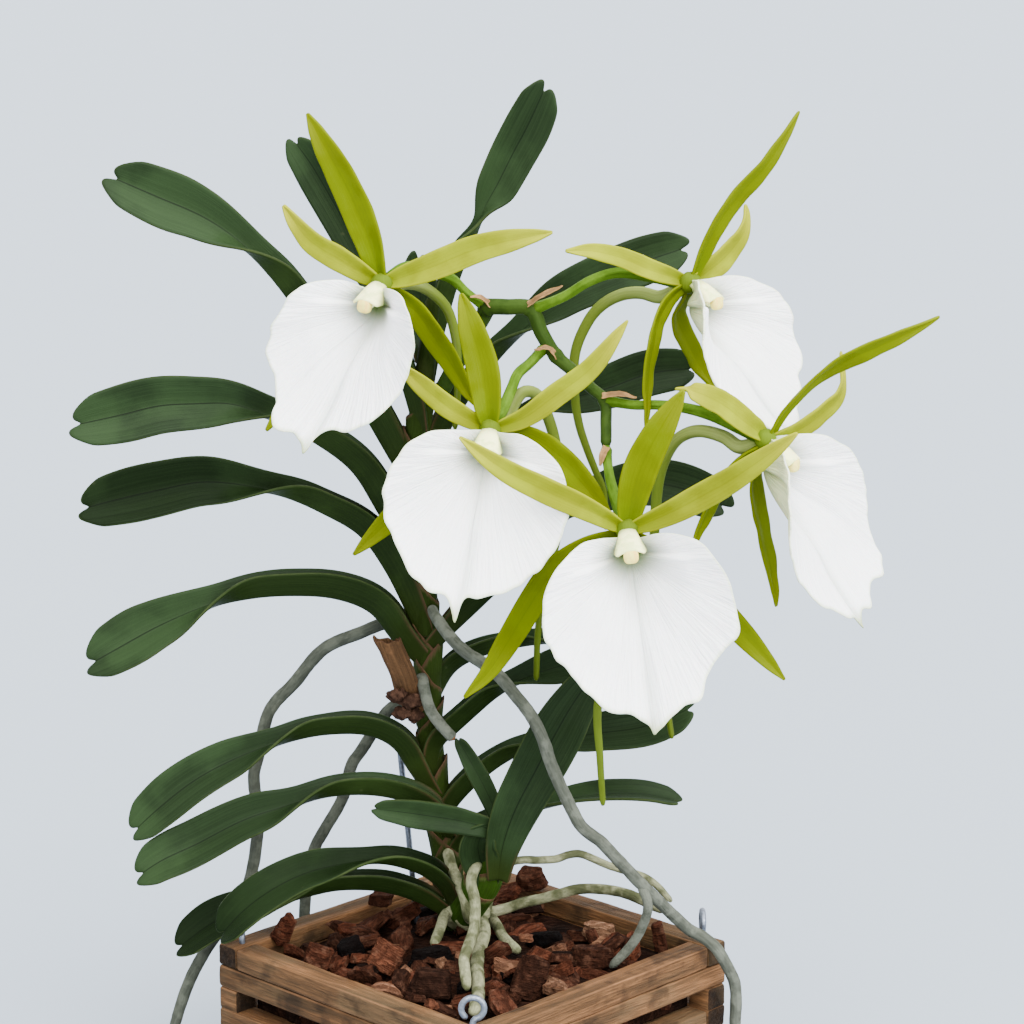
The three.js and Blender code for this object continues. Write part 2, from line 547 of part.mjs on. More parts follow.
// The flowers. Each one faces a way (degrees to the right of the viewer and degrees up) and leans
// (its lip's tip to the right), and its tepals and spur follow curves of their own.
const tepalOutline = along([0, 0.42], [0.14, 0.8], [0.34, 1], [0.62, 0.8], [0.85, 0.42], [1, 0.08]);
const flowers = [
  {
    centre: [382, 284, -10], faces: -28, rises: 5, leans: -5, size: 0.92,
    tepals: [
      [15, [382, 284, -9], [370, 240, -7], [352, 196, -6], [329, 152, -6], [307, 113, -5]],
      [11, [382, 284, -9], [345, 262, -6], [310, 240, -2], [283, 205, 3]],
      [12.5, [382, 284, -9], [430, 268, -14], [480, 248, -20], [553, 232, -28]],
      [13, [382, 286, -8], [415, 310, -8], [440, 345, -6], [476, 405, -4]],
      [13, [380, 286, -8], [330, 350, 2], [290, 400, 7], [266, 431, 8]],
    ],
    spur: [
      [384, 288, -7], [405, 283, -2], [425, 288, 2], [446, 307, 5], [455, 334, 6], [458, 380, 6], [455, 430, 6],
    ],
  },
  {
    centre: [490, 430, -28], faces: -3, rises: 4, leans: -8, size: 0.95,
    tepals: [
      [14, [490, 430, -27], [483, 370, -27], [472, 330, -26], [461, 293, -25]],
      [11, [490, 430, -27], [450, 408, -26], [425, 388, -25], [395, 362, -23]],
      [11.5, [490, 430, -27], [524, 418, -27], [556, 395, -28], [590, 369, -28], [628, 320, -28]],
      [13, [492, 431, -26], [530, 440, -25], [565, 465, -26], [592, 495, -28], [612, 522, -30]],
      [13, [488, 432, -26], [440, 470, -18], [395, 515, -14], [353, 555, -12]],
    ],
    spur: [
      [494, 436, -24], [506, 424, -14], [514, 404, -9], [524, 392, -7], [536, 394, -6], [547, 415, -5],
      [556, 446, -5], [562, 500, -4], [552, 560, -3], [539, 622, -3], [536, 681, -2],
    ],
  },
  {
    centre: [627, 530, -58], faces: -1, rises: 3, leans: 8, size: 1.03,
    tepals: [
      [14.5, [627, 530, -57], [632, 500, -58], [640, 470, -60], [655, 438, -62], [684, 390, -64]],
      [11, [627, 530, -57], [585, 508, -60], [545, 490, -64], [505, 470, -69], [459, 437, -74]],
      [11.5, [627, 530, -57], [665, 515, -61], [700, 497, -67], [735, 477, -74], [798, 433, -86]],
      [
        12, [625, 532, -56], [585, 548, -54], [553, 572, -52], [530, 605, -50], [488, 672, -47], [464, 698, -46],
      ],
      [12, [629, 532, -56], [680, 570, -50], [730, 620, -45], [785, 680, -42]],
    ],
    spur: [
      [628, 532, -55], [634, 560, -48], [625, 620, -44], [610, 670, -42], [598, 704, -41], [600, 760, -40],
      [603, 806, -39],
    ],
  },
  {
    centre: [690, 283, -6], faces: 52, rises: 7, leans: -1, size: 0.95,
    tepals: [
      [11, [690, 283, -5], [706, 245, -6], [722, 215, -7], [742, 190, -8], [765, 165, -9], [800, 111, -10]],
      [12, [690, 283, -5], [655, 272, -8], [620, 258, -11], [590, 251, -13], [565, 251, -14]],
      [11, [690, 283, -5], [715, 265, 3], [732, 248, 10], [744, 228, 14], [745, 204, 16]],
      [13, [688, 284, -5], [672, 296, -10], [659, 318, -16], [652, 345, -20], [648, 375, -22], [646, 428, -24]],
      [13, [690, 284, -4], [676, 315, 4], [688, 345, 10], [703, 372, 13], [718, 395, 14]],
    ],
    spur: [
      [686, 286, -2], [672, 293, 1], [659, 297, 4], [642, 293, 7], [625, 294, 10], [608, 301, 12],
      [594, 313, 13], [584, 329, 13], [577, 346, 13], [574, 363, 13], [575, 398, 13], [579, 424, 12],
      [587, 449, 10], [596, 472, 8], [603, 489, 7], [606, 530, 6],
    ],
  },
  {
    centre: [766, 440, -50], faces: 60, rises: -2, leans: 3, size: 1.03,
    tepals: [
      [
        11, [766, 440, -49], [786, 408, -52], [805, 388, -55], [828, 370, -57], [852, 357, -58],
        [878, 345, -58], [940, 316, -57],
      ],
      [12.5, [766, 440, -49], [742, 420, -52], [718, 402, -54], [695, 392, -54], [675, 388, -52]],
      [10, [766, 440, -49], [798, 430, -44], [822, 412, -38], [840, 394, -33], [841, 351, -28]],
      [13, [764, 442, -49], [752, 480, -43], [757, 510, -39], [765, 545, -37], [776, 607, -36]],
      [12, [764, 442, -49], [735, 462, -46], [718, 490, -44], [703, 520, -44], [690, 548, -45]],
    ],
    spur: [
      [762, 442, -46], [740, 447, -41], [724, 437, -36], [701, 431, -31], [686, 434, -27], [674, 443, -24],
      [661, 470, -21], [655, 520, -19], [655, 600, -18], [663, 680, -18], [672, 739, -18],
    ],
  },
];

// Half of the lip's outline, from the top by the column round to the tip: across and down from the
// throat, as shares of the lip's half width
const lipOutline = [
  [0.13, -0.3], [0.32, -0.31], [0.51, -0.27], [0.67, -0.16], [0.82, -0.04], [0.9, 0.11], [0.97, 0.27],
  [1, 0.49], [0.99, 0.64], [0.93, 0.81], [0.83, 0.96], [0.72, 1.11], [0.59, 1.27], [0.44, 1.35], [0.26, 1.46],
  [0.1, 1.5], [0.04, 1.55], [0, 1.67],
];
const lipWidest = 7;

function flowerFrame({ centre, faces, rises, leans }) {
  const middle = seen(centre);
  const azimuth = THREE.MathUtils.degToRad(faces);
  const rise = THREE.MathUtils.degToRad(rises);
  const lean = THREE.MathUtils.degToRad(leans);
  const out = new THREE.Vector3(Math.sin(azimuth), -Math.cos(azimuth), 0).multiplyScalar(Math.cos(rise));
  out.z = Math.sin(rise);
  const right = new THREE.Vector3(0, 0, 1).cross(out).normalize();
  right.applyAxisAngle(out, lean);
  const up = new THREE.Vector3().crossVectors(out, right);
  const at = (across, above, ahead) => middle.clone()
    .addScaledVector(right, across).addScaledVector(up, above).addScaledVector(out, ahead);
  return { out, at };
}

function lipShape({ size }, { at }) {
  const half = lipHalfWidth * size;
  const left = lipOutline.map(([across, down]) => new THREE.Vector3(-across * half, down * half, 0));
  const right = lipOutline.slice(0, -1).reverse()
    .map(([across, down]) => new THREE.Vector3(across * half, down * half, 0));
  const ring = [...left.slice(lipWidest), ...right, ...left.slice(0, lipWidest)];
  const edge = new THREE.CatmullRomCurve3(ring, true, 'centripetal');
  const geometry = new THREE.SphereGeometry(1, 22, 8);
  const spots = geometry.attributes.position;
  for (let i = 0; i < spots.count; i += 1) {
    const y = THREE.MathUtils.clamp(spots.getY(i), -1, 1);
    const reach = 1 - Math.abs(Math.asin(y)) / quarter;
    const share = (Math.atan2(spots.getZ(i), -spots.getX(i)) / (4 * quarter) + 1) % 1;
    const rim = reach > 0.01 ? edge.getPointAt(share).multiplyScalar(reach) : new THREE.Vector3();
    const across = rim.x / half;
    const down = rim.y / half;
    const cup = (cupDepth + shoulderDepth * THREE.MathUtils.clamp(1 - down, 0, 1.4)) * across ** 2;
    const curl = tipCurl * Math.max(0, down) ** 2;
    const besideColumn = down < 0 ? 1 - 0.9 * (1 - Math.abs(across)) ** 2 : 1;
    const funnel = lipAhead * THREE.MathUtils.smoothstep(reach, 0, 0.6) * besideColumn;
    const skin = (lipThickness / 2) * Math.sign(Math.round(y * 100)) * (1 - 0.5 * reach);
    const spot = at(rim.x, -lipBelow * size - rim.y, funnel + cup + curl + skin);
    spots.setXYZ(i, spot.x, spot.y, spot.z);
  }
  return solid(geometry);
}

function ball(place, radius) {
  return solid(new THREE.SphereGeometry(radius, 10, 6).translate(place.x, place.y, place.z));
}

flowers.forEach((flower) => {
  const frame = flowerFrame(flower);
  const above = new THREE.Vector3(0, 0, 1);
  const face = (place, tangent) => (Math.abs(frame.out.dot(tangent)) > 0.95 ? above : frame.out);
  const tepals = flower.tepals.map(([width, ...places]) => blade(curveThrough(places), {
    faceAt: face,
    widthAt: (place) => width * tepalOutline(place),
    foldAt: () => 14,
    thickness: tepalThickness,
    steps: 7,
  }));
  const columnSpots = [frame.at(0, 0, 1), frame.at(0, -3.5, 5.5), frame.at(0, -9, 10)];
  const columnCurve = new THREE.CatmullRomCurve3(columnSpots);
  const column = tube(columnCurve, along([0, 2.4], [0.5, 2.4], [0.8, columnRadius], [1, 2.6]), { steps: 4 });
  const spurTaper = along([0, spurRadius], [0.4, spurRadius - 0.5], [1, 1.2]);
  const spur = tube(curveThrough(flower.spur), spurTaper, { steps: 12, sides: 6 });
  const rest = join([ball(seen(flower.centre), knobRadius), column, spur, ...tepals]);
  flower.rest = cut(rest, stemRoom);
  flower.lip = lipShape(flower, frame);
});
const flowerRoom = flowers.map((flower) => grown(flower.rest));
flowers.forEach((flower, index) => {
  piece(`flower_${index + 1}_tepals`, flower.rest, tepalGreen);
  piece(`flower_${index + 1}_lip`, cut(flower.lip, ...flowerRoom), lipWhite);
});
piece('flower_stalk', cut(stalk, stemRoom, grown(leaves.leaf_right_1), ...flowerRoom), stalkGreen);

// The bark, with room for everything that stands in it
const stakeCurve = curveThrough([[398, 730, 43], [407, 820, 43], [417, 925, 43]]);
const stake = piece('wire_stake', tube(stakeCurve, () => stakeRadius, { steps: 4, sides: 6 }), zinc);

function barkFill() {
  const width = basketSide - 2 * slatWidth - 2 * seam;
  const floor = course;
  const geometry = new THREE.BoxGeometry(width, width, barkTop - floor, barkCells, barkCells, 1);
  geometry.translate(0, 0, (barkTop + floor) / 2);
  const spots = geometry.attributes.position;
  for (let i = 0; i < spots.count; i += 1) {
    if (spots.getZ(i) < barkTop - 1) continue;
    const x = (spots.getX(i) / width) * 2;
    const y = (spots.getY(i) / width) * 2;
    const mound = barkMound * (1 - x * x) * (1 - y * y);
    const lumps = barkRoughness * Math.sin(9 * x + 2 * y) * Math.cos(8 * y - 3 * x);
    spots.setZ(i, barkTop + mound + lumps);
  }
  return solid(geometry.rotateZ(quarter / 2));
}

const inTheBark = [stem, stake, shoot, smallRootMass, leaves.leaf_left_9];
piece('bark_fill', cut(barkFill(), ...inTheBark.map(grown)), bark);

export default object;
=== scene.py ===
import bisect
import json
import math
import random

import bpy
from mathutils import Matrix, Quaternion, Vector, noise

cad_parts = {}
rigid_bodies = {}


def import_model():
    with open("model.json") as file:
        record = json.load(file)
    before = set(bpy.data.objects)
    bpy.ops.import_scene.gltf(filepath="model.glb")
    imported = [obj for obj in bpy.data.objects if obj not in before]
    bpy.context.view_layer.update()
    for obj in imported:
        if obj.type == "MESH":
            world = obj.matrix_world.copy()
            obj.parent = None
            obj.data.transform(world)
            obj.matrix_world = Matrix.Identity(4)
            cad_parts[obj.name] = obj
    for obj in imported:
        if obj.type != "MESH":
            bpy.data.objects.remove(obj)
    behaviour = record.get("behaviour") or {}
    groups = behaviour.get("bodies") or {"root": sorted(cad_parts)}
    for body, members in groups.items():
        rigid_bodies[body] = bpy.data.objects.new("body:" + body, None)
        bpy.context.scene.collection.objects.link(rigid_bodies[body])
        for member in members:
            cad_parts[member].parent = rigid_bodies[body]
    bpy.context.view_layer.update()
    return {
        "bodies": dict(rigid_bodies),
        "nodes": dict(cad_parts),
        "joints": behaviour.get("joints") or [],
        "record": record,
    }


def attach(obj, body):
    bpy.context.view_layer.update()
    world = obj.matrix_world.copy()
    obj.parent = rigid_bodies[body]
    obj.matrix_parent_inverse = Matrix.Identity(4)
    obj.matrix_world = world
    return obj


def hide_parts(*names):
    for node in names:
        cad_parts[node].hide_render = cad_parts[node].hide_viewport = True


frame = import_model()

millimetre = 0.001
upwards = Vector((0, 0, 1))
backwards = Vector((0, 1, 0))

# The viewpoint. It also turns a place in the picture and a depth into a place in the scene.
view = {
    "lens": 100.0,
    "sensor": 36.0,
    "pixels": 1024,
    "distance": 1.126,
    "height": 0.493,
    "pitch": math.radians(11.78),
    "yaw": math.radians(0.84),
}


def addCamera():
    camera = bpy.data.objects.new("camera", bpy.data.cameras.new("camera"))
    camera.data.lens = view["lens"]
    camera.data.sensor_width = view["sensor"]
    camera.location = (0, -view["distance"], view["height"])
    camera.rotation_euler = (math.pi / 2 - view["pitch"], 0, -view["yaw"])
    bpy.context.scene.collection.objects.link(camera)
    bpy.context.scene.camera = camera


def rayThrough(px, py):
    middle = view["pixels"] / 2
    ray = Vector((px - middle, view["lens"] / view["sensor"] * view["pixels"], middle - py))
    ray.rotate(Quaternion((1, 0, 0), -view["pitch"]))
    ray.rotate(Quaternion((0, 0, 1), -view["yaw"]))
    return Vector((0, -view["distance"], view["height"])), ray


def seen(px, py, depth):  # depth is the scene's own Y, in millimetres
    start, ray = rayThrough(px, py)
    return start + ray * ((depth * millimetre + view["distance"]) / ray.y)


def seenAtHeight(px, py, height):
    start, ray = rayThrough(px, py)
    return start + ray * ((height - start.z) / ray.z)


addCamera()


# Lines and values that change along them
class Route:
    def __init__(self, points, closed=False, perSpan=20):
        self.line = []
        count = len(points)
        for span in range(count if closed else count - 1):
            here, there = points[span], points[(span + 1) % count]
            before = points[span - 1] if closed or span else 2 * here - there
            after = points[(span + 2) % count] if closed or span + 2 < count else 2 * there - here
            pairs = ((before, here), (here, there), (there, after))
            early, gap, late = (max((b - a).length, 1e-9) ** 0.5 for a, b in pairs)
            pull = (here - before) / early - (there - before) / (early + gap) + (there - here) / gap
            push = (there - here) / gap - (after - here) / (gap + late) + (after - there) / late
            pull, push = pull * gap, push * gap
            for step in range(perSpan):
                t = step / perSpan
                self.line.append(
                    here * (2 * t**3 - 3 * t**2 + 1) + pull * (t**3 - 2 * t**2 + t)
                    + there * (3 * t**2 - 2 * t**3) + push * (t**3 - t**2)
                )
        self.line.append(points[0].copy() if closed else points[-1].copy())
        self.reach = [0.0]
        for a, b in zip(self.line, self.line[1:]):
            self.reach.append(self.reach[-1] + (b - a).length)
        self.length = self.reach[-1]

    def at(self, share):
        want = min(max(share, 0), 1) * self.length
        i = min(max(bisect.bisect_left(self.reach, want), 1), len(self.line) - 1)
        gap = self.reach[i] - self.reach[i - 1]
        return self.line[i - 1].lerp(self.line[i], (want - self.reach[i - 1]) / gap if gap else 0)

    def heading(self, share, step=0.004):
        return (self.at(min(share + step, 1)) - self.at(max(share - step, 0))).normalized()

    def nearest(self, point):
        i = min(range(len(self.line)), key=lambda n: (self.line[n] - point).length_squared)
        return self.reach[i] / self.length


def routeThrough(places, **options):
    return Route([seen(*place) for place in places], **options)


def smooth(value, low=0.0, high=1.0):
    share = min(max((value - low) / (high - low), 0), 1)
    return share * share * (3 - 2 * share)


def along(*stops):  # a value that changes smoothly between [place, value] stops, without overshooting
    places = [stop[0] for stop in stops]
    rises = [(b[1] - a[1]) / (b[0] - a[0]) for a, b in zip(stops, stops[1:])]
    between = [2 * a * b / (a + b) if a * b > 0 else 0.0 for a, b in zip(rises, rises[1:])]
    slopes = [rises[0]] + between + [rises[-1]]

    def valueAt(place):
        i = min(max(bisect.bisect_right(places, place) - 1, 0), len(stops) - 2)
        (low, before), (high, after) = stops[i], stops[i + 1]
        gap = high - low
        t = min(max((place - low) / gap, 0), 1)
        return (
            before * (2 * t**3 - 3 * t**2 + 1) + slopes[i] * gap * (t**3 - 2 * t**2 + t)
            + after * (3 * t**2 - 2 * t**3) + slopes[i + 1] * gap * (t**3 - t**2)
        )
    return valueAt


def grit(*numbers):  # a smooth random value from about -1 to 1
    return noise.noise(Vector((numbers + (0.37, 0.71))[:3]))


# Pieces
def clearSelection():
    if bpy.context.object and bpy.context.object.mode != "OBJECT":
        bpy.ops.object.mode_set(mode="OBJECT")
    bpy.ops.object.select_all(action="DESELECT")


def dress(piece, *materials):
    piece.data.materials.clear()
    for material in materials:
        piece.data.materials.append(material)


def gridPiece(name, across, lengthwise, place, *materials, marks=None):
    # A sheet whose points come from (u, v). Marks are values kept at its points for the materials.
    clearSelection()
    bpy.ops.mesh.primitive_grid_add(x_subdivisions=across, y_subdivisions=lengthwise, size=2)
    piece = bpy.context.object
    piece.name = name
    spots = [((vertex.co.x + 1) / 2, (vertex.co.y + 1) / 2) for vertex in piece.data.vertices]
    for vertex, spot in zip(piece.data.vertices, spots):
        vertex.co = place(*spot)
    for mark, valueAt in (marks or {}).items():
        store(piece, mark, [valueAt(*spot) for spot in spots])
    dress(piece, *materials)
    return piece


class Ribbon:  # a route with a face, which turns a share along, a way across and a lift into a point
    def __init__(self, route, faceAt, count=160):
        self.frames = []
        for i in range(count + 1):
            tangent = route.heading(i / count)
            face = faceAt(i / count, tangent)
            face = (face - tangent * face.dot(tangent)).normalized()
            self.frames.append((route.at(i / count), face.cross(tangent), face, tangent))

    def at(self, share, across, lift, ahead=0.0):
        position = min(max(share, 0), 1) * (len(self.frames) - 1)
        first = min(int(position), len(self.frames) - 2)
        pairs = zip(self.frames[first], self.frames[first + 1])
        spot, side, face, tangent = (a.lerp(b, position - first) for a, b in pairs)
        return spot + side * across + face * lift + tangent * ahead


def bladePiece(name, ribbon, length, widthAt, foldAt, materials, cells=(12, 48), thickness=0.0015, soft=0.2,
               ripple=0.0, seed=0.0, endAt=None, levels=1, recurve=0.0):
    # A folded blade. Its two halves rise by the fold, and its end may have lobes.
    softness = math.sqrt(1 + soft * soft) - soft

    def place(u, v):
        s = 1 - 2 * u
        s *= 0.6 + 0.4 * abs(s)  # the points stand closer together by the midrib
        share = v * (1 + endAt(s) / length) if endAt else v
        half, fold = widthAt(share) / 2, math.radians(foldAt(share))
        rise = (math.sqrt(s * s + soft * soft) - soft) / softness
        wave = ripple * (grit(share * 9, s * 0.8, seed) * abs(s) + 0.5 * grit(share * 4, 7.0, seed))
        bend = recurve * half * s**4
        return ribbon.at(share, half * s * math.cos(fold), half * rise * math.sin(fold) + wave - bend)

    piece = gridPiece(name, *cells, place, *materials)
    return thicken(piece, thickness, levels)


def only(piece):
    clearSelection()
    piece.select_set(True)
    bpy.context.view_layer.objects.active = piece


def weld(piece, gap=2e-6):
    only(piece)
    bpy.ops.object.mode_set(mode="EDIT")
    bpy.ops.mesh.select_all(action="SELECT")
    bpy.ops.mesh.remove_doubles(threshold=gap)
    bpy.ops.mesh.normals_make_consistent(inside=False)
    bpy.ops.object.mode_set(mode="OBJECT")
    return piece


def modify(piece, kind, **settings):
    only(piece)
    modifier = piece.modifiers.new(kind.lower(), kind)
    for setting, value in settings.items():
        setattr(modifier, setting, value)
    bpy.ops.object.modifier_apply(modifier=modifier.name)
    return piece


def thicken(piece, thickness, levels=1):
    modify(piece, "SOLIDIFY", thickness=thickness, offset=0, material_offset=1, material_offset_rim=2)
    if levels:
        modify(piece, "SUBSURF", levels=levels, render_levels=levels)
    return piece


def settle(piece, slotName, *nodes, angle=None):
    for polygon in piece.data.polygons:
        polygon.use_smooth = True
    if angle:
        only(piece)
        bpy.ops.object.shade_smooth_by_angle(angle=math.radians(angle))
    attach(piece, "root")
    if nodes:
        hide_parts(*nodes)
    return piece


def joinPieces(name, pieces):
    clearSelection()
    for piece in pieces:
        piece.select_set(True)
    bpy.context.view_layer.objects.active = pieces[0]
    bpy.ops.object.join()
    pieces[0].name = name
    return pieces[0]


def store(piece, name, values, kind="FLOAT"):
    attribute = piece.data.attributes.new(name, kind, "POINT")
    attribute.data.foreach_set("vector" if kind == "FLOAT_VECTOR" else "value", values)


def placesOf(piece):
    return [c for vertex in piece.data.vertices for c in vertex.co]


def tubePiece(name, route, radiusAt, material, sides=12, steps=48, cap=(0.0, 0.6, 1.0), lump=None):
    # A round piece along a route. The cap's numbers are the radius at its first and last rings.
    share = radiusAt(0.5) / route.length
    near = [share * (1 - math.sqrt(max(1 - r * r, 0))) for r in cap]
    stations = [(p, r) for p, r in zip(near, cap)]
    body = steps - 2 * len(cap) + 1
    start, end = near[-1], 1 - near[-1]
    stations += [(start + (end - start) * i / body, 1.0) for i in range(1, body)]
    stations += [(1 - p, r) for p, r in reversed(list(zip(near, cap)))]
    frames = []
    side = route.heading(0).orthogonal().normalized()
    for share, factor in stations:
        heading = route.heading(share)
        side = (side - heading * side.dot(heading)).normalized()
        frames.append((route.at(share), side.copy(), heading.cross(side), radiusAt(share) * factor, share))

    def place(u, v):
        middle, across, other, radius, share = frames[round(v * (len(frames) - 1))]
        angle = 2 * math.pi * u
        if lump:
            radius *= lump(angle, share)
        return middle + (across * math.cos(angle) + other * math.sin(angle)) * radius

    return weld(gridPiece(name, sides, len(frames) - 1, place, material))


def ballPiece(name, middle, radii, material, lumps=0.0, turn=None, seed=0.0, boxy=1.0):
    clearSelection()
    bpy.ops.mesh.primitive_uv_sphere_add(segments=20, ring_count=12, radius=1)
    piece = bpy.context.object
    piece.name = name
    for vertex in piece.data.vertices:
        spot = vertex.co * (1 + lumps * grit(vertex.co.x * 2 + seed, vertex.co.y * 2, vertex.co.z * 2))
        spot = Vector([radius * math.copysign(abs(c) ** boxy, c) for radius, c in zip(radii, spot)])
        vertex.co = middle + (turn @ spot if turn else spot)
    dress(piece, material)
    return piece


# Materials
lightLevel = 5.0  # how bright a white surface that faces the light is in the scene


def shade(red, green, blue, by=1.0):
    # The reflectance of a surface that shows on screen as this colour, 0 to 255, times a factor
    def reflectance(value):
        level = min(max(value * by, 1), 250) / 255
        return min(0.218 * (level / (1 - level)) ** 1.213 / lightLevel, 0.95)
    return (reflectance(red), reflectance(green), reflectance(blue), 1.0)


def addNode(tree, kind, inputs=None, **settings):
    made = tree.nodes.new("ShaderNode" + kind)
    for setting, value in settings.items():
        setattr(made, setting, value)
    for socket, value in (inputs or {}).items():
        if isinstance(value, bpy.types.NodeSocket):
            tree.links.new(value, made.inputs[socket])
        else:
            made.inputs[socket].default_value = value
    return made


def mixed(tree, share, first, second, kind="MIX"):
    return addNode(tree, "Mix", {0: share, 6: first, 7: second}, data_type="RGBA", blend_type=kind).outputs[2]


def painted(tree, under, colour, mask, amount, kind="MIX"):  # a colour over another, where the mask is
    return mixed(tree, worked(tree, "MULTIPLY", mask, amount), under, colour, kind)


def worked(tree, operation, first, second=0.0):
    return addNode(tree, "Math", {0: first, 1: second}, operation=operation).outputs[0]


def ranged(tree, value, low, high, toLow=0.0, toHigh=1.0):
    sockets = {"Value": value, "From Min": low, "From Max": high, "To Min": toLow, "To Max": toHigh}
    return addNode(tree, "MapRange", sockets, interpolation_type="SMOOTHSTEP").outputs["Result"]


def newMaterial(name, **constants):
    material = bpy.data.materials.new(name)
    material.use_nodes = True
    surface = material.node_tree.nodes["Principled BSDF"]
    for socket, value in constants.items():
        surface.inputs[socket.replace("_", " ")].default_value = value
    return material, material.node_tree, surface


def finishMaterial(tree, surface, colour, roughness, height=None, depth=0.0003, strength=0.6):
    tree.links.new(colour, surface.inputs["Base Color"])
    tree.links.new(roughness, surface.inputs["Roughness"])
    if height is not None:
        bump = addNode(tree, "Bump", {"Height": height, "Distance": depth, "Strength": strength})
        tree.links.new(bump.outputs["Normal"], surface.inputs["Normal"])


def newGroup(name, inputs):
    group = bpy.data.node_groups.new(name, "ShaderNodeTree")
    for label, kind, default in inputs:
        socket = group.interface.new_socket(name=label, in_out="INPUT", socket_type="NodeSocket" + kind)
        if default is not None:
            socket.default_value = default
    group.interface.new_socket(name="Value", in_out="OUTPUT", socket_type="NodeSocketFloat")
    return group, group.nodes.new("NodeGroupInput").outputs, group.nodes.new("NodeGroupOutput").inputs


def used(tree, group, inputs):
    return addNode(tree, "Group", inputs, node_tree=group).outputs[0]


def makeStreaks():  # noise drawn out along one way, as veins and grain are
    inputs = [("Vector", "Vector", None), ("Stretch", "Vector", (60, 3, 1)), ("Sharpness", "Float", 0.25)]
    group, given, result = newGroup("streaks", inputs)
    pair = {0: given["Vector"], 1: given["Stretch"]}
    drawn = addNode(group, "VectorMath", pair, operation="MULTIPLY").outputs[0]
    cloud = addNode(group, "TexNoise", {"Vector": drawn, "Scale": 1.0, "Detail": 4.0, "Roughness": 0.6})
    low = worked(group, "SUBTRACT", 0.5, given["Sharpness"])
    high = worked(group, "ADD", 0.5, given["Sharpness"])
    group.links.new(ranged(group, cloud.outputs["Fac"], low, high), result["Value"])
    return group


def makePatches():  # soft-edged patches of a given size and amount
    inputs = [("Vector", "Vector", None), ("Scale", "Float", 50.0), ("Amount", "Float", 0.5)]
    group, given, result = newGroup("patches", inputs)
    cloud = addNode(group, "TexNoise", {"Vector": given["Vector"], "Scale": given["Scale"], "Detail": 5.0})
    low = worked(group, "SUBTRACT", 0.9, given["Amount"])
    high = worked(group, "ADD", low, 0.16)
    group.links.new(ranged(group, cloud.outputs["Fac"], low, high), result["Value"])
    return group


def makeMargin():  # near the two long edges of a sheet
    group, given, result = newGroup("margin", [("Vector", "Vector", None), ("Width", "Float", 0.03)])
    across = addNode(group, "SeparateXYZ", {0: given["Vector"]}).outputs[0]
    nearest = worked(group, "MINIMUM", across, worked(group, "SUBTRACT", 1.0, across))
    group.links.new(ranged(group, nearest, 0.0, given["Width"], 1.0, 0.0), result["Value"])
    return group


streaks, patches, margin = makeStreaks(), makePatches(), makeMargin()


def sheetWays(tree):  # the sheet's own map, its two directions, and the scene's coordinates
    flat = addNode(tree, "UVMap", uv_map="UVMap").outputs[0]
    parts = addNode(tree, "SeparateXYZ", {0: flat}).outputs
    return flat, parts[0], parts[1], addNode(tree, "TexCoord").outputs["Object"]


def leafMaterial(name, dark, light, gloss):
    finish = {"Specular_IOR_Level": 0.02, "Coat_Weight": gloss, "Coat_Roughness": 0.32}
    material, tree, surface = newMaterial(name, **finish)
    flat, u, v, place = sheetWays(tree)
    veins = used(tree, streaks, {"Vector": flat, "Stretch": (46, 1.8, 1), "Sharpness": 0.26})
    fine = used(tree, streaks, {"Vector": flat, "Stretch": (150, 7.0, 1), "Sharpness": 0.2})
    cloud = used(tree, patches, {"Vector": place, "Scale": 24.0, "Amount": 0.44})
    body = painted(tree, shade(*dark), shade(*light), veins, 0.6)
    body = painted(tree, body, shade(*light, by=1.14), cloud, 0.55)
    body = painted(tree, body, shade(*dark, by=0.8), fine, 0.28)
    # A darker line along the midrib, where the blade folds: painted shade in the crease.
    fromRib = worked(tree, "ABSOLUTE", worked(tree, "SUBTRACT", u, 0.5))
    rib = ranged(tree, fromRib, 0.006, 0.03, 1.0, 0.0)
    body = painted(tree, body, shade(*dark, by=0.4), rib, 0.8)
    spots = addNode(tree, "TexVoronoi", {"Vector": place, "Scale": 150.0, "Randomness": 1.0})
    rare = used(tree, patches, {"Vector": place, "Scale": 75.0, "Amount": 0.31})
    scar = worked(tree, "MULTIPLY", ranged(tree, spots.outputs["Distance"], 0.06, 0.18, 1.0, 0.0), rare)
    body = painted(tree, body, shade(142, 146, 104), scar, 0.7)
    edge = used(tree, margin, {"Vector": flat, "Width": 0.013})
    body = painted(tree, body, shade(100, 124, 62), edge, 0.4)
    foot = worked(tree, "MULTIPLY", ranged(tree, v, 0.02, 0.2, 1.0, 0.0), 0.7)
    body = mixed(tree, foot, body, shade(78, 98, 30))
    dryFoot = worked(tree, "MULTIPLY", ranged(tree, v, 0.06, 0.24, 1.0, 0.0),
                     used(tree, margin, {"Vector": flat, "Width": 0.07}))
    body = mixed(tree, dryFoot, body, shade(136, 106, 76))
    rough = ranged(tree, cloud, 0.0, 1.0, 0.36, 0.47)
    height = worked(tree, "ADD", worked(tree, "MULTIPLY", veins, 0.6), worked(tree, "MULTIPLY", scar, -0.6))
    height = worked(tree, "ADD", height, worked(tree, "MULTIPLY", fine, 0.3))
    finishMaterial(tree, surface, body, rough, height, 0.0003, 0.45)
    return material


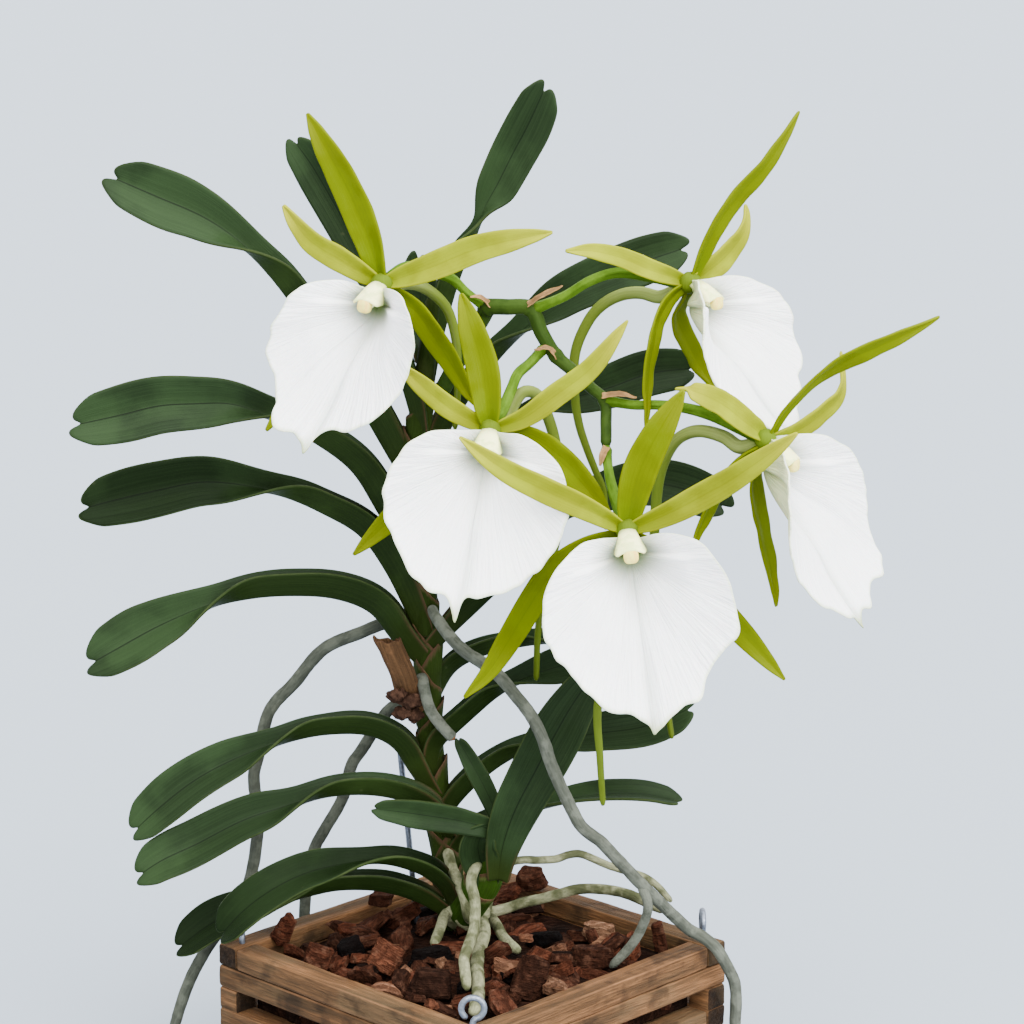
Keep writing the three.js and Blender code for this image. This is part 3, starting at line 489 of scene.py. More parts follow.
def tepalMaterial(name, base, middle, tip, edge):
    material, tree, surface = newMaterial(name, Specular_IOR_Level=0.012)
    flat, u, v, place = sheetWays(tree)
    body = mixed(tree, ranged(tree, v, 0.0, 0.35), shade(*base), shade(*middle))
    body = mixed(tree, ranged(tree, v, 0.6, 1.0), body, shade(*tip))
    veins = used(tree, streaks, {"Vector": flat, "Stretch": (40, 1.4, 1), "Sharpness": 0.24})
    body = painted(tree, body, shade(*middle, by=0.84), veins, 0.35)
    cloud = used(tree, patches, {"Vector": place, "Scale": 50.0, "Amount": 0.45})
    body = painted(tree, body, shade(*middle, by=1.1), cloud, 0.25)
    fromRib = worked(tree, "ABSOLUTE", worked(tree, "SUBTRACT", u, 0.5))
    rib = ranged(tree, fromRib, 0.0, 0.07, 1.0, 0.0)
    body = painted(tree, body, shade(*base, by=0.84), rib, 0.22)
    rim = used(tree, margin, {"Vector": flat, "Width": 0.1})
    body = painted(tree, body, shade(*edge), rim, 0.6)
    rough = ranged(tree, cloud, 0.0, 1.0, 0.42, 0.52)
    finishMaterial(tree, surface, body, rough, veins, 0.0002, 0.4)
    return material


def lipMaterial(name, pale, vein, throatTint):
    material, tree, surface = newMaterial(
        name, Specular_IOR_Level=0.1, Subsurface_Weight=0.1, Subsurface_Scale=0.002,
        Sheen_Weight=0.12, Sheen_Roughness=0.4,
    )
    flat, _, v, place = sheetWays(tree)
    veins = used(tree, streaks, {"Vector": flat, "Stretch": (120, 2.4, 1), "Sharpness": 0.2})
    broad = used(tree, streaks, {"Vector": flat, "Stretch": (30, 1.6, 1), "Sharpness": 0.3})
    body = painted(tree, shade(*pale), shade(*vein), veins, 0.5)
    body = painted(tree, body, shade(*vein), broad, 0.35)
    # Darker along the crease down the lip's middle: painted shade in the fold.
    crease = addNode(tree, "Attribute", attribute_name="crease").outputs["Fac"]
    body = painted(tree, body, shade(*vein, by=0.94), crease, 0.5)
    throat = addNode(tree, "Attribute", attribute_name="throat").outputs["Fac"]
    body = mixed(tree, throat, body, shade(*throatTint))
    rim = ranged(tree, v, 0.965, 1.0)
    body = painted(tree, body, shade(224, 228, 206), rim, 0.5)
    tail = addNode(tree, "Attribute", attribute_name="tail").outputs["Fac"]
    body = painted(tree, body, shade(206, 212, 178), tail, 0.8)
    rough = ranged(tree, veins, 0.0, 1.0, 0.5, 0.62)
    cells = addNode(tree, "TexNoise", {"Vector": place, "Scale": 420.0, "Detail": 3.0}).outputs["Fac"]
    height = worked(tree, "ADD", worked(tree, "ADD", veins, broad), worked(tree, "MULTIPLY", cells, 0.8))
    finishMaterial(tree, surface, body, rough, height, 0.0005, 0.7)
    return material


def columnMaterial():
    material, tree, surface = newMaterial("columnCream", Specular_IOR_Level=0.06, Subsurface_Weight=0.15,
                                          Subsurface_Scale=0.002)
    _, _, _, place = sheetWays(tree)
    cloud = used(tree, patches, {"Vector": place, "Scale": 260.0, "Amount": 0.45})
    body = painted(tree, shade(238, 238, 222), shade(226, 230, 200), cloud, 0.5)
    green = addNode(tree, "Attribute", attribute_name="green").outputs["Fac"]
    body = mixed(tree, green, body, shade(158, 172, 74))
    finishMaterial(tree, surface, body, ranged(tree, cloud, 0.0, 1.0, 0.42, 0.52), cloud, 0.0002, 0.4)
    return material


def tintedMaterial(name, first, second, patch, amount=0.45, scale=90.0, stretch=(12, 40, 1), rough=(0.5, 0.7),
                   depth=0.0003, **constants):
    # A rounded piece with streaks along it and patches over it
    constants.setdefault("Specular_IOR_Level", 0.02)
    material, tree, surface = newMaterial(name, **constants)
    flat, _, _, place = sheetWays(tree)
    lines = used(tree, streaks, {"Vector": flat, "Stretch": stretch, "Sharpness": 0.24})
    body = painted(tree, shade(*first), shade(*second), lines, 0.8)
    spots = used(tree, patches, {"Vector": place, "Scale": scale, "Amount": amount})
    body = painted(tree, body, shade(*patch), spots, 0.8)
    fine = addNode(tree, "TexNoise", {"Vector": place, "Scale": 900.0, "Detail": 3.0}).outputs["Fac"]
    body = painted(tree, body, shade(*first, by=0.72), fine, 0.35)
    finishMaterial(tree, surface, body, ranged(tree, fine, 0.3, 0.7, *rough),
                   worked(tree, "ADD", lines, worked(tree, "MULTIPLY", fine, 0.6)), depth, 0.6)
    return material


def woodMaterial(name, ends=False):
    material, tree, surface = newMaterial(name, Specular_IOR_Level=0.08)
    grain = addNode(tree, "Attribute", attribute_name="grain").outputs["Vector"]
    tone = addNode(tree, "Attribute", attribute_name="tone").outputs["Fac"]
    shift = addNode(tree, "CombineXYZ", {0: worked(tree, "MULTIPLY", tone, 3.0), 1: tone, 2: tone}).outputs[0]
    place = addNode(tree, "VectorMath", {0: grain, 1: shift}, operation="ADD").outputs[0]
    stretch = (300, 900, 900) if ends else (28, 520, 420)
    wide = (150, 260, 260) if ends else (9, 150, 120)
    fine = used(tree, streaks, {"Vector": place, "Stretch": stretch, "Sharpness": 0.18})
    fibre = used(tree, streaks, {"Vector": place, "Stretch": [c * 3 for c in stretch], "Sharpness": 0.12})
    broad = used(tree, streaks, {"Vector": place, "Stretch": wide, "Sharpness": 0.22})
    light, dark = ((124, 92, 60), (62, 44, 30)) if ends else ((200, 168, 122), (134, 108, 74))
    body = mixed(tree, broad, shade(*light), shade(*dark))
    body = painted(tree, body, shade(*dark, by=0.72), fine, 0.5)
    body = painted(tree, body, shade(*dark, by=0.6), fibre, 0.4)
    grey = used(tree, patches, {"Vector": place, "Scale": 30.0, "Amount": 0.43})
    body = painted(tree, body, shade(168, 148, 112), grey, 0.35)
    dirt = used(tree, patches, {"Vector": place, "Scale": 75.0, "Amount": 0.36})
    body = painted(tree, body, shade(70, 52, 36), dirt, 0.6)
    body = painted(tree, body, (0.68, 0.58, 0.48, 1.0), tone, 0.4, "MULTIPLY")
    parts = addNode(tree, "SeparateXYZ", {0: grain}).outputs
    nearSide = ranged(tree, worked(tree, "ABSOLUTE", parts[1]), 0.0046, 0.0055)
    nearTop = ranged(tree, worked(tree, "ABSOLUTE", parts[2]), 0.0037, 0.0046)
    wear = worked(tree, "MULTIPLY", worked(tree, "MULTIPLY", nearSide, nearTop), 0.55)
    body = mixed(tree, wear, body, shade(208, 180, 142) if not ends else shade(110, 80, 56))
    height = worked(tree, "ADD", worked(tree, "MULTIPLY", fine, -1.0), worked(tree, "MULTIPLY", fibre, -0.7))
    finishMaterial(tree, surface, body, ranged(tree, fine, 0.0, 1.0, 0.68, 0.85), height, 0.0005, 0.8)
    return material


def barkMaterial():
    material, tree, surface = newMaterial("barkChip", Specular_IOR_Level=0.02)
    grain = addNode(tree, "Attribute", attribute_name="grain").outputs["Vector"]
    tone = addNode(tree, "Attribute", attribute_name="tone").outputs["Fac"]
    layers = used(tree, streaks, {"Vector": grain, "Stretch": (90, 160, 1600), "Sharpness": 0.16})
    fibres = used(tree, streaks, {"Vector": grain, "Stretch": (140, 1100, 500), "Sharpness": 0.16})
    cracks = used(tree, streaks, {"Vector": grain, "Stretch": (240, 520, 420), "Sharpness": 0.1})
    ramp = addNode(tree, "ValToRGB", {"Fac": tone})
    stops = [(0.0, (34, 33, 35)), (0.16, (52, 42, 38)), (0.3, (108, 70, 52)), (0.55, (146, 96, 70)),
             (0.8, (176, 120, 88)), (1.0, (208, 186, 162))]
    while len(ramp.color_ramp.elements) < len(stops):
        ramp.color_ramp.elements.new(0.5)
    for element, (position, colour) in zip(ramp.color_ramp.elements, stops):
        element.position = position
        element.color = shade(*colour)
    body = ramp.outputs["Color"]
    body = painted(tree, body, (0.45, 0.36, 0.32, 1.0), layers, 0.6, "MULTIPLY")
    body = painted(tree, body, (0.5, 0.42, 0.38, 1.0), fibres, 0.5, "MULTIPLY")
    body = painted(tree, body, shade(26, 16, 13), cracks, 0.55)
    pale = used(tree, patches, {"Vector": grain, "Scale": 230.0, "Amount": 0.37})
    hue = worked(tree, "MULTIPLY", worked(tree, "MULTIPLY", pale, 0.6), ranged(tree, tone, 0.2, 0.5))
    body = mixed(tree, hue, body, shade(170, 132, 106))
    height = worked(tree, "ADD", worked(tree, "ADD", layers, fibres), worked(tree, "MULTIPLY", cracks, 1.3))
    height = worked(tree, "MULTIPLY", height, -1.0)
    finishMaterial(tree, surface, body, ranged(tree, cracks, 0.0, 1.0, 0.72, 0.92), height, 0.0007, 0.9)
    return material


def zincMaterial():
    material, tree, surface = newMaterial("galvanised", Metallic=0.85)
    place = addNode(tree, "TexCoord").outputs["Object"]
    cells = addNode(tree, "TexVoronoi", {"Vector": place, "Scale": 900.0}).outputs["Distance"]
    dull = used(tree, patches, {"Vector": place, "Scale": 400.0, "Amount": 0.5})
    body = mixed(tree, cells, shade(206, 210, 216), shade(168, 174, 184))
    body = painted(tree, body, shade(184, 188, 194), dull, 0.5)
    finishMaterial(tree, surface, body, ranged(tree, dull, 0.0, 1.0, 0.3, 0.5), dull, 0.0001, 0.4)
    return material


def sheathMaterial(name, green, straw, brown):  # green below and dry towards its torn upper edge
    material, tree, surface = newMaterial(name, Specular_IOR_Level=0.02)
    flat, _, v, place = sheetWays(tree)
    lines = used(tree, streaks, {"Vector": flat, "Stretch": (44, 1.4, 1), "Sharpness": 0.26})
    broad = used(tree, patches, {"Vector": place, "Scale": 60.0, "Amount": 0.5})
    uneven = worked(tree, "ADD", v, worked(tree, "MULTIPLY", worked(tree, "SUBTRACT", lines, 0.5), 0.07))
    body = painted(tree, shade(*green), shade(*green, by=0.7), lines, 0.6)
    body = painted(tree, body, shade(*green, by=1.2), broad, 0.4)
    body = mixed(tree, ranged(tree, uneven, 0.86, 0.93), body, shade(*straw))
    body = mixed(tree, ranged(tree, uneven, 0.92, 0.98), body, shade(*brown))
    finishMaterial(tree, surface, body, ranged(tree, lines, 0.0, 1.0, 0.55, 0.8), lines, 0.0004, 0.7)
    return material


leafUpper = leafMaterial("leafUpper", (42, 68, 32), (82, 112, 66), 0.045)
# A darker, less glossy copy of the leaf material: painted shade for the leaves listed as dark.
leafInShade = leafMaterial("leafInShade", (22, 42, 14), (50, 76, 36), 0.02)
leafUnder = leafMaterial("leafUnder", (42, 68, 22), (76, 104, 44), 0.02)
leafEdge = tintedMaterial("leafEdge", (92, 114, 58), (74, 98, 44), (104, 122, 68), rough=(0.4, 0.5))
sepalFace = tepalMaterial("sepalFace", (146, 168, 1), (164, 176, 1), (186, 192, 12), (174, 182, 4))
petalFace = tepalMaterial("petalFace", (170, 182, 8), (194, 198, 22), (214, 214, 76), (204, 206, 52))
lateralFace = tepalMaterial("lateralFace", (148, 166, 1), (164, 176, 1), (186, 192, 18), (176, 184, 8))
spurSkin = tepalMaterial("spurSkin", (214, 218, 176), (160, 176, 66), (134, 152, 36), (160, 176, 66))
knobSkin = tepalMaterial("knobSkin", (158, 176, 40), (158, 176, 40), (158, 176, 40), (158, 176, 40))
lipFace = lipMaterial("lipFace", (250, 250, 250), (238, 241, 238), (170, 190, 74))
lipBack = lipMaterial("lipBack", (236, 238, 226), (218, 222, 200), (196, 204, 140))
columnCream = columnMaterial()
capCream = tintedMaterial("capCream", (248, 236, 200), (242, 224, 176), (250, 240, 212), stretch=(8, 1, 1),
                          rough=(0.4, 0.5), depth=0.0001)
stalkGreen = tintedMaterial("stalkGreen", (96, 132, 44), (66, 102, 28), (114, 146, 56), stretch=(9, 5, 1),
                            rough=(0.38, 0.5), depth=0.0002)
pedicelGreen = tintedMaterial("pedicelGreen", (150, 184, 46), (112, 154, 26), (166, 194, 66),
                              stretch=(9, 4, 1), rough=(0.38, 0.5), depth=0.0003)
ringDark = tintedMaterial("ringDark", (70, 70, 40), (50, 44, 28), (90, 84, 50))
bractTan = tintedMaterial("bractTan", (214, 194, 152), (178, 148, 108), (224, 208, 172), stretch=(30, 3, 1))
airRoot = {"amount": 0.46, "scale": 160.0, "stretch": (14, 36, 1), "rough": (0.7, 0.85), "depth": 0.0004}
rootSilver = tintedMaterial("rootSilver", (158, 162, 150), (120, 125, 110), (176, 179, 168), **airRoot)
rootShaded = tintedMaterial("rootShaded", (144, 149, 136), (106, 112, 98), (160, 164, 151), **airRoot)
rootMottled = tintedMaterial("rootMottled", (206, 206, 186), (168, 172, 138), (92, 104, 36), amount=0.46,
                             scale=95.0, stretch=(12, 24, 1), rough=(0.7, 0.85), depth=0.0005)
rootTip = tintedMaterial("rootTip", (168, 128, 88), (132, 92, 60), (196, 160, 116))
stemSheath = tintedMaterial("stemSheath", (72, 96, 32), (46, 68, 20), (92, 108, 48), amount=0.44, scale=70.0,
                            stretch=(26, 1.5, 1), rough=(0.5, 0.65))
paperBrown = tintedMaterial("paperBrown", (156, 126, 96), (108, 80, 58), (180, 154, 120), stretch=(30, 3, 1),
                            rough=(0.75, 0.9), depth=0.0005)
stubBrown = tintedMaterial("stubBrown", (172, 138, 98), (98, 72, 50), (192, 160, 120), amount=0.4,
                           scale=120.0, stretch=(30, 1.6, 1), rough=(0.75, 0.95), depth=0.0014)
huskBrown = tintedMaterial("huskBrown", (128, 92, 72), (62, 40, 30), (156, 120, 96), amount=0.42, scale=190.0,
                           stretch=(16, 3, 1), rough=(0.8, 0.95), depth=0.0014)
sheathSkin = sheathMaterial("sheathSkin", (74, 100, 32), (124, 116, 70), (138, 108, 78))
shootSkin = sheathMaterial("shootSkin", (84, 124, 34), (140, 150, 84), (140, 112, 80))
slatWood, slatEnd = woodMaterial("slatWood"), woodMaterial("slatEnd", ends=True)
chipBark = barkMaterial()
galvanised = zincMaterial()
print("materials made")


# The basket: bars along their own x, worn, with a grain that follows each bar. The three lists of ends
# say whether each side's slat runs through to the corner at its start and at its end.
basket = {
    "side": 0.150,
    "slatWidth": 0.011,
    "slatHeight": 0.0091,
    "seam": 0.0003,
    "floorSlatWidth": 0.018,
    "floorSlatOffset": 0.038,
    "round": 0.0011,
    "wear": 0.00022,
    "groove": 0.00012,
    "sawnEnd": 0.002,
    "barStep": 0.004,
    "edge": 40,
    "turns": [-135, -45, 45, 135],
    "sides": ["front_left", "front_right", "back_right", "back_left"],
    "rimEnds": [(0, 1), (0, 0), (1, 1), (0, 1)],
    "secondEnds": [(1, 0), (1, 1), (0, 1), (0, 0)],
    "fourthEnds": [(1, 1), (0, 0), (1, 1), (0, 0)],
}
courseHeight = basket["slatHeight"] + basket["seam"]
rimTop = 8 * courseHeight - basket["seam"]


def barOutline(width, height):  # a rounded rectangle, seven points to a side, closed
    ring = []
    corner = basket["round"]
    for quarter in range(4):
        cos, sin = math.cos(math.radians(90 * quarter)), math.sin(math.radians(90 * quarter))
        w, h = (width / 2, height / 2) if quarter % 2 == 0 else (height / 2, width / 2)
        flat = [(w, (h - corner) * (i / 2 - 1)) for i in range(5)]
        bend = [(w - corner + corner * math.cos(a), h - corner + corner * math.sin(a))
                for a in (math.radians(30), math.radians(60))]
        for x, y in flat + bend:
            ring.append((x * cos - y * sin, x * sin + y * cos))
    return ring + ring[:1]


def barPiece(name, length, middle, turn, seed, width=basket["slatWidth"], height=basket["slatHeight"]):
    outline = barOutline(width, height)
    lip = basket["round"] / height
    caps = [(0.0, 0.0), (0.0, 0.55), (0.0, 1 - 1.6 * lip), (0.3, 1 - 0.5 * lip), (1.0, 1.0)]
    body = max(round(length / basket["barStep"]), 2)
    reach = length / 2
    rows = [(-reach + drop * basket["round"], size) for drop, size in caps]
    rows += [(-reach + length * (i + 0.5) / body, 1.0) for i in range(1, body - 1)]
    rows += [(-x, size) for x, size in reversed(rows[:len(caps)])]

    def place(u, v):
        x, size = rows[round(v * (len(rows) - 1))]
        y, z = outline[round(u * (len(outline) - 1))]
        wear = basket["wear"] * grit(x * 55, y * 90 + seed, z * 90)
        groove = basket["groove"] * grit(x * 25 + seed, y * 1500, z * 1500)
        worn = size * (1 + (wear + groove) / (height / 2))
        if abs(x) > reach - basket["sawnEnd"]:
            x += basket["wear"] * grit(seed, y * 300, z * 300)
        return Vector((x, y * worn, z * worn))

    piece = weld(gridPiece(name, len(outline) - 1, len(rows) - 1, place, slatWood, slatEnd))
    for polygon in piece.data.polygons:
        polygon.material_index = int(abs(polygon.normal.x) > 0.8)
    store(piece, "grain", placesOf(piece), "FLOAT_VECTOR")
    store(piece, "tone", [seed % 1.0] * len(piece.data.vertices))
    piece.data.transform(Matrix.Translation(middle) @ Matrix.Rotation(turn, 4, "Z"))
    return piece


def slatPiece(name, index, level, ends):
    reach = basket["side"] / 2
    short = basket["slatWidth"] + basket["seam"]
    start, end = -reach + (0 if ends[0] else short), reach - (0 if ends[1] else short)
    turn = math.radians(basket["turns"][index])
    height = level * courseHeight + basket["slatHeight"] / 2
    middle = Vector((reach - basket["slatWidth"] / 2, (start + end) / 2, height))
    middle.rotate(Quaternion((0, 0, 1), turn))
    return barPiece(name, end - start, middle, turn + math.pi / 2, 0.37 * index + 1.13 * level + 0.11)


def blockPiece(name, index, level, atEnd):
    reach = (basket["side"] - basket["slatWidth"]) / 2
    turn = math.radians(basket["turns"][index])
    height = basket["slatHeight"] + 2 * basket["seam"]
    base = level * courseHeight - 2 * basket["seam"]
    middle = Vector((reach, reach if atEnd else -reach, base + height / 2))
    middle.rotate(Quaternion((0, 0, 1), turn))
    seed = 0.53 * index + 0.71 * level + 0.29 * atEnd
    return barPiece(name, basket["slatWidth"], middle, turn + math.pi / 2, seed, height=height)


def framePieces(name, level):
    bars = [slatPiece(name, index, level, ends) for index, ends in enumerate(basket["rimEnds"])]
    return bars + [blockPiece(name, index, level + 1, atEnd) for index in (0, 2) for atEnd in (0, 1)]


def floorPieces(name):
    bars = []
    for offset in (-1, 0, 1):
        middle = Vector((offset * basket["floorSlatOffset"], 0, basket["slatHeight"] / 2))
        middle.rotate(Quaternion((0, 0, 1), math.pi / 4))
        length = basket["side"] - 2 * basket["slatWidth"] + 0.001
        seed = 0.41 * offset + 2.2
        bars.append(barPiece(name, length, middle, 3 * math.pi / 4, seed, width=basket["floorSlatWidth"]))
    return bars


def makeBasket():
    for index, side in enumerate(basket["sides"]):
        for course, level, ends in (("rim", 7, "rimEnds"), ("upper", 6, "secondEnds")):
            name = f"{course}_slat_{side}"
            slat = slatPiece(name + "_worn", index, level, basket[ends][index])
            settle(slat, "wood", name, angle=basket["edge"])
        name = f"middle_slat_{side}"
        bars = [slatPiece(name, index, 4, basket["fourthEnds"][index])]
        if basket["fourthEnds"][index][0]:
            bars += [blockPiece(name, index, 5, atEnd) for atEnd in (0, 1)]
        settle(joinPieces(name + "_worn", bars), "wood", name, angle=basket["edge"])
    frames = (("lower", framePieces("lower", 2)), ("base", framePieces("base", 0) + floorPieces("floor")))
    for name, bars in frames:
        worn = joinPieces(f"{name}_frame_worn", bars)
        settle(worn, "wood", f"{name}_frame", angle=basket["edge"])


# The galvanised rods, each bent into an eye, and the stake
rods = {
    "radius": 0.00125,
    "fromCentre": 0.096,
    "shank": (0.002, 0.03, 0.055),
    "underRim": 0.002,
    "neck": 0.0018,
    "eyeBend": (-80, 262, 19),  # degrees: where the eye's bend starts and stops, and its step
    "eyeRadius": 0.0044,
    "eyeHeight": 0.0086,
    "corners": {"front": (0, -1), "right": (1, 0), "back": (0, 1), "left": (-1, 0)},
    "stakeRadius": 0.0013,
    "stake": [(398, 730, 43), (402, 770, 43), (407, 820, 43), (412, 872, 43), (417, 925, 43)],
}


def eyeRod(name, x, y):
    foot = Vector((x * rods["fromCentre"], y * rods["fromCentre"], 0))
    wayOut = Vector((1, 0, 0)) if y else Vector((0, 1, 0))  # the eye stands in this direction and up
    middle = rimTop + rods["eyeHeight"]
    radius = rods["eyeRadius"]
    heights = (*rods["shank"], rimTop - rods["underRim"], middle - radius - rods["neck"])
    spots = [foot + upwards * height for height in heights]
    for degrees in range(*rods["eyeBend"]):
        angle = math.radians(degrees)
        spots.append(foot + wayOut * radius * math.cos(angle) + upwards * (middle + radius * math.sin(angle)))
    route = Route(spots)
    return tubePiece(name, route, lambda place: rods["radius"], galvanised, sides=12, steps=150)


def makeRods():
    for corner, (x, y) in rods["corners"].items():
        settle(eyeRod(f"eye_{corner}", x, y), "zinc", f"eye_rod_{corner}")
    route = routeThrough(rods["stake"])
    stake = tubePiece("stake", route, lambda place: rods["stakeRadius"], galvanised, sides=12, steps=60)
    settle(stake, "zinc", "wire_stake")


makeBasket()
makeRods()
print("basket made")


# The stem, wrapped in the sheaths of its leaves, and the dry stub
stem = {
    "radius": 0.0052,
    "taper": 0.0006,
    "topRadius": 0.0028,
    "lump": 0.05,
    "places": [(456, 935, 36), (453, 915, 35), (445, 850, 33), (437, 800, 32), (430, 740, 31), (428, 690, 30),
               (428, 640, 29), (424, 590, 28), (416, 540, 27), (412, 490, 26), (418, 430, 24), (424, 380, 23),
               (430, 330, 21), (434, 290, 20)],
    "sheathLength": 0.12,
    "sheathGap": 0.00035,
    "sheathFlare": 0.0016,
    "sheathSlope": 0.06,
    "sheathTear": 0.006,
    "sheathLump": 0.0003,
    "sheathThickness": 0.0005,
    "sheathCells": (20, 12),
}
stub = {
    "radius": 0.0051,
    "taper": 0.07,
    "lump": 0.0005,
    "curl": 0.0013,
    "torn": 0.16,
    "shortSide": 0.08,
    "flatness": 0.85,
    "thickness": 0.0007,
    "places": [(416, 706, 27), (408, 690, 20), (402, 672, 15), (393, 652, 13), (386, 631, 12)],
    "huskLumps": [((397, 695, 12), (0.0042, 0.0028, 0.0027)), ((410, 701, 13), (0.0046, 0.0030, 0.0029)),
                  ((403, 713, 15), (0.0040, 0.0030, 0.0026)), ((415, 715, 17), (0.0036, 0.0030, 0.0030))],
}
stemRoute = routeThrough(stem["places"])
stemTaper = along([0, stem["radius"] + stem["taper"]], [0.15, stem["radius"]],
                  [0.8, stem["radius"] - stem["taper"]], [1, stem["topRadius"]])
stemRibbon = Ribbon(stemRoute, lambda share, tangent: -backwards)


def makeStem(bases):
    lump = lambda angle, share: 1 + stem["lump"] * grit(math.cos(angle), math.sin(angle), share * 30)
    core = tubePiece("stem_core", stemRoute, stemTaper, stemSheath, sides=20, steps=110, lump=lump)
    settle(core, "stem", "stem")
    for number, (base, side) in enumerate(bases):
        settle(sheathPiece(f"stem_sheath_{number + 1}", base, side, number), "stem", "stem")


def sheathPiece(name, base, side, seed):
    top = stemRoute.nearest(base)
    bottom = max(top - stem["sheathLength"] * (0.7 + 0.4 * grit(seed * 3.1)), 0.0)

    def place(u, v):
        angle = 2 * math.pi * u
        high = 0.5 + 0.5 * math.cos(angle) * -side
        end = top + stem["sheathSlope"] * (high - 0.5)
        end += stem["sheathTear"] * grit(math.cos(angle) * 2, math.sin(angle) * 2, seed * 1.7)
        share = bottom + (min(end, 1) - bottom) * v
        radius = stemTaper(share) + stem["sheathGap"] + stem["sheathFlare"] * v**3 * (0.4 + 0.6 * high)
        radius += stem["sheathLump"] * grit(math.cos(angle) * 3, math.sin(angle) * 3, share * 20 + seed)
        return stemRibbon.at(share, radius * math.cos(angle), radius * math.sin(angle))

    piece = weld(gridPiece(name, *stem["sheathCells"], place, sheathSkin, sheathSkin, paperBrown))
    return thicken(piece, stem["sheathThickness"])


def makeStub():
    route = routeThrough(stub["places"])
    ribbon = Ribbon(route, lambda share, tangent: -backwards, 40)

    def place(u, v):
        angle = 2 * math.pi * u
        curled = smooth(math.cos(angle), 0.1, 0.9)  # the torn lip at the left turns outwards
        torn = 1 - stub["torn"] * abs(grit(math.cos(angle) * 3, math.sin(angle) * 3, 4.1))
        torn -= stub["shortSide"] * (1 - curled)
        share = v * torn
        radius = stub["radius"] * (1 - stub["taper"] * share)
        radius += stub["lump"] * grit(math.cos(angle) * 4, math.sin(angle) * 4, share * 4)
        radius += stub["curl"] * curled * smooth(v, 0.82, 1)
        return ribbon.at(share, radius * math.cos(angle), stub["flatness"] * radius * math.sin(angle))

    piece = weld(gridPiece("dry_stub", 28, 26, place, stubBrown, stubBrown, huskBrown))
    settle(thicken(piece, stub["thickness"]), "dry_stub", "dried_stalk_stub")
    for number, (spot, radii) in enumerate(stub["huskLumps"]):
        husk = ballPiece(f"dry_husk_{number + 1}", seen(*spot), radii, huskBrown, 0.5, seed=number * 2.7)
        settle(husk, "dry_stub", "dried_stalk_stub")


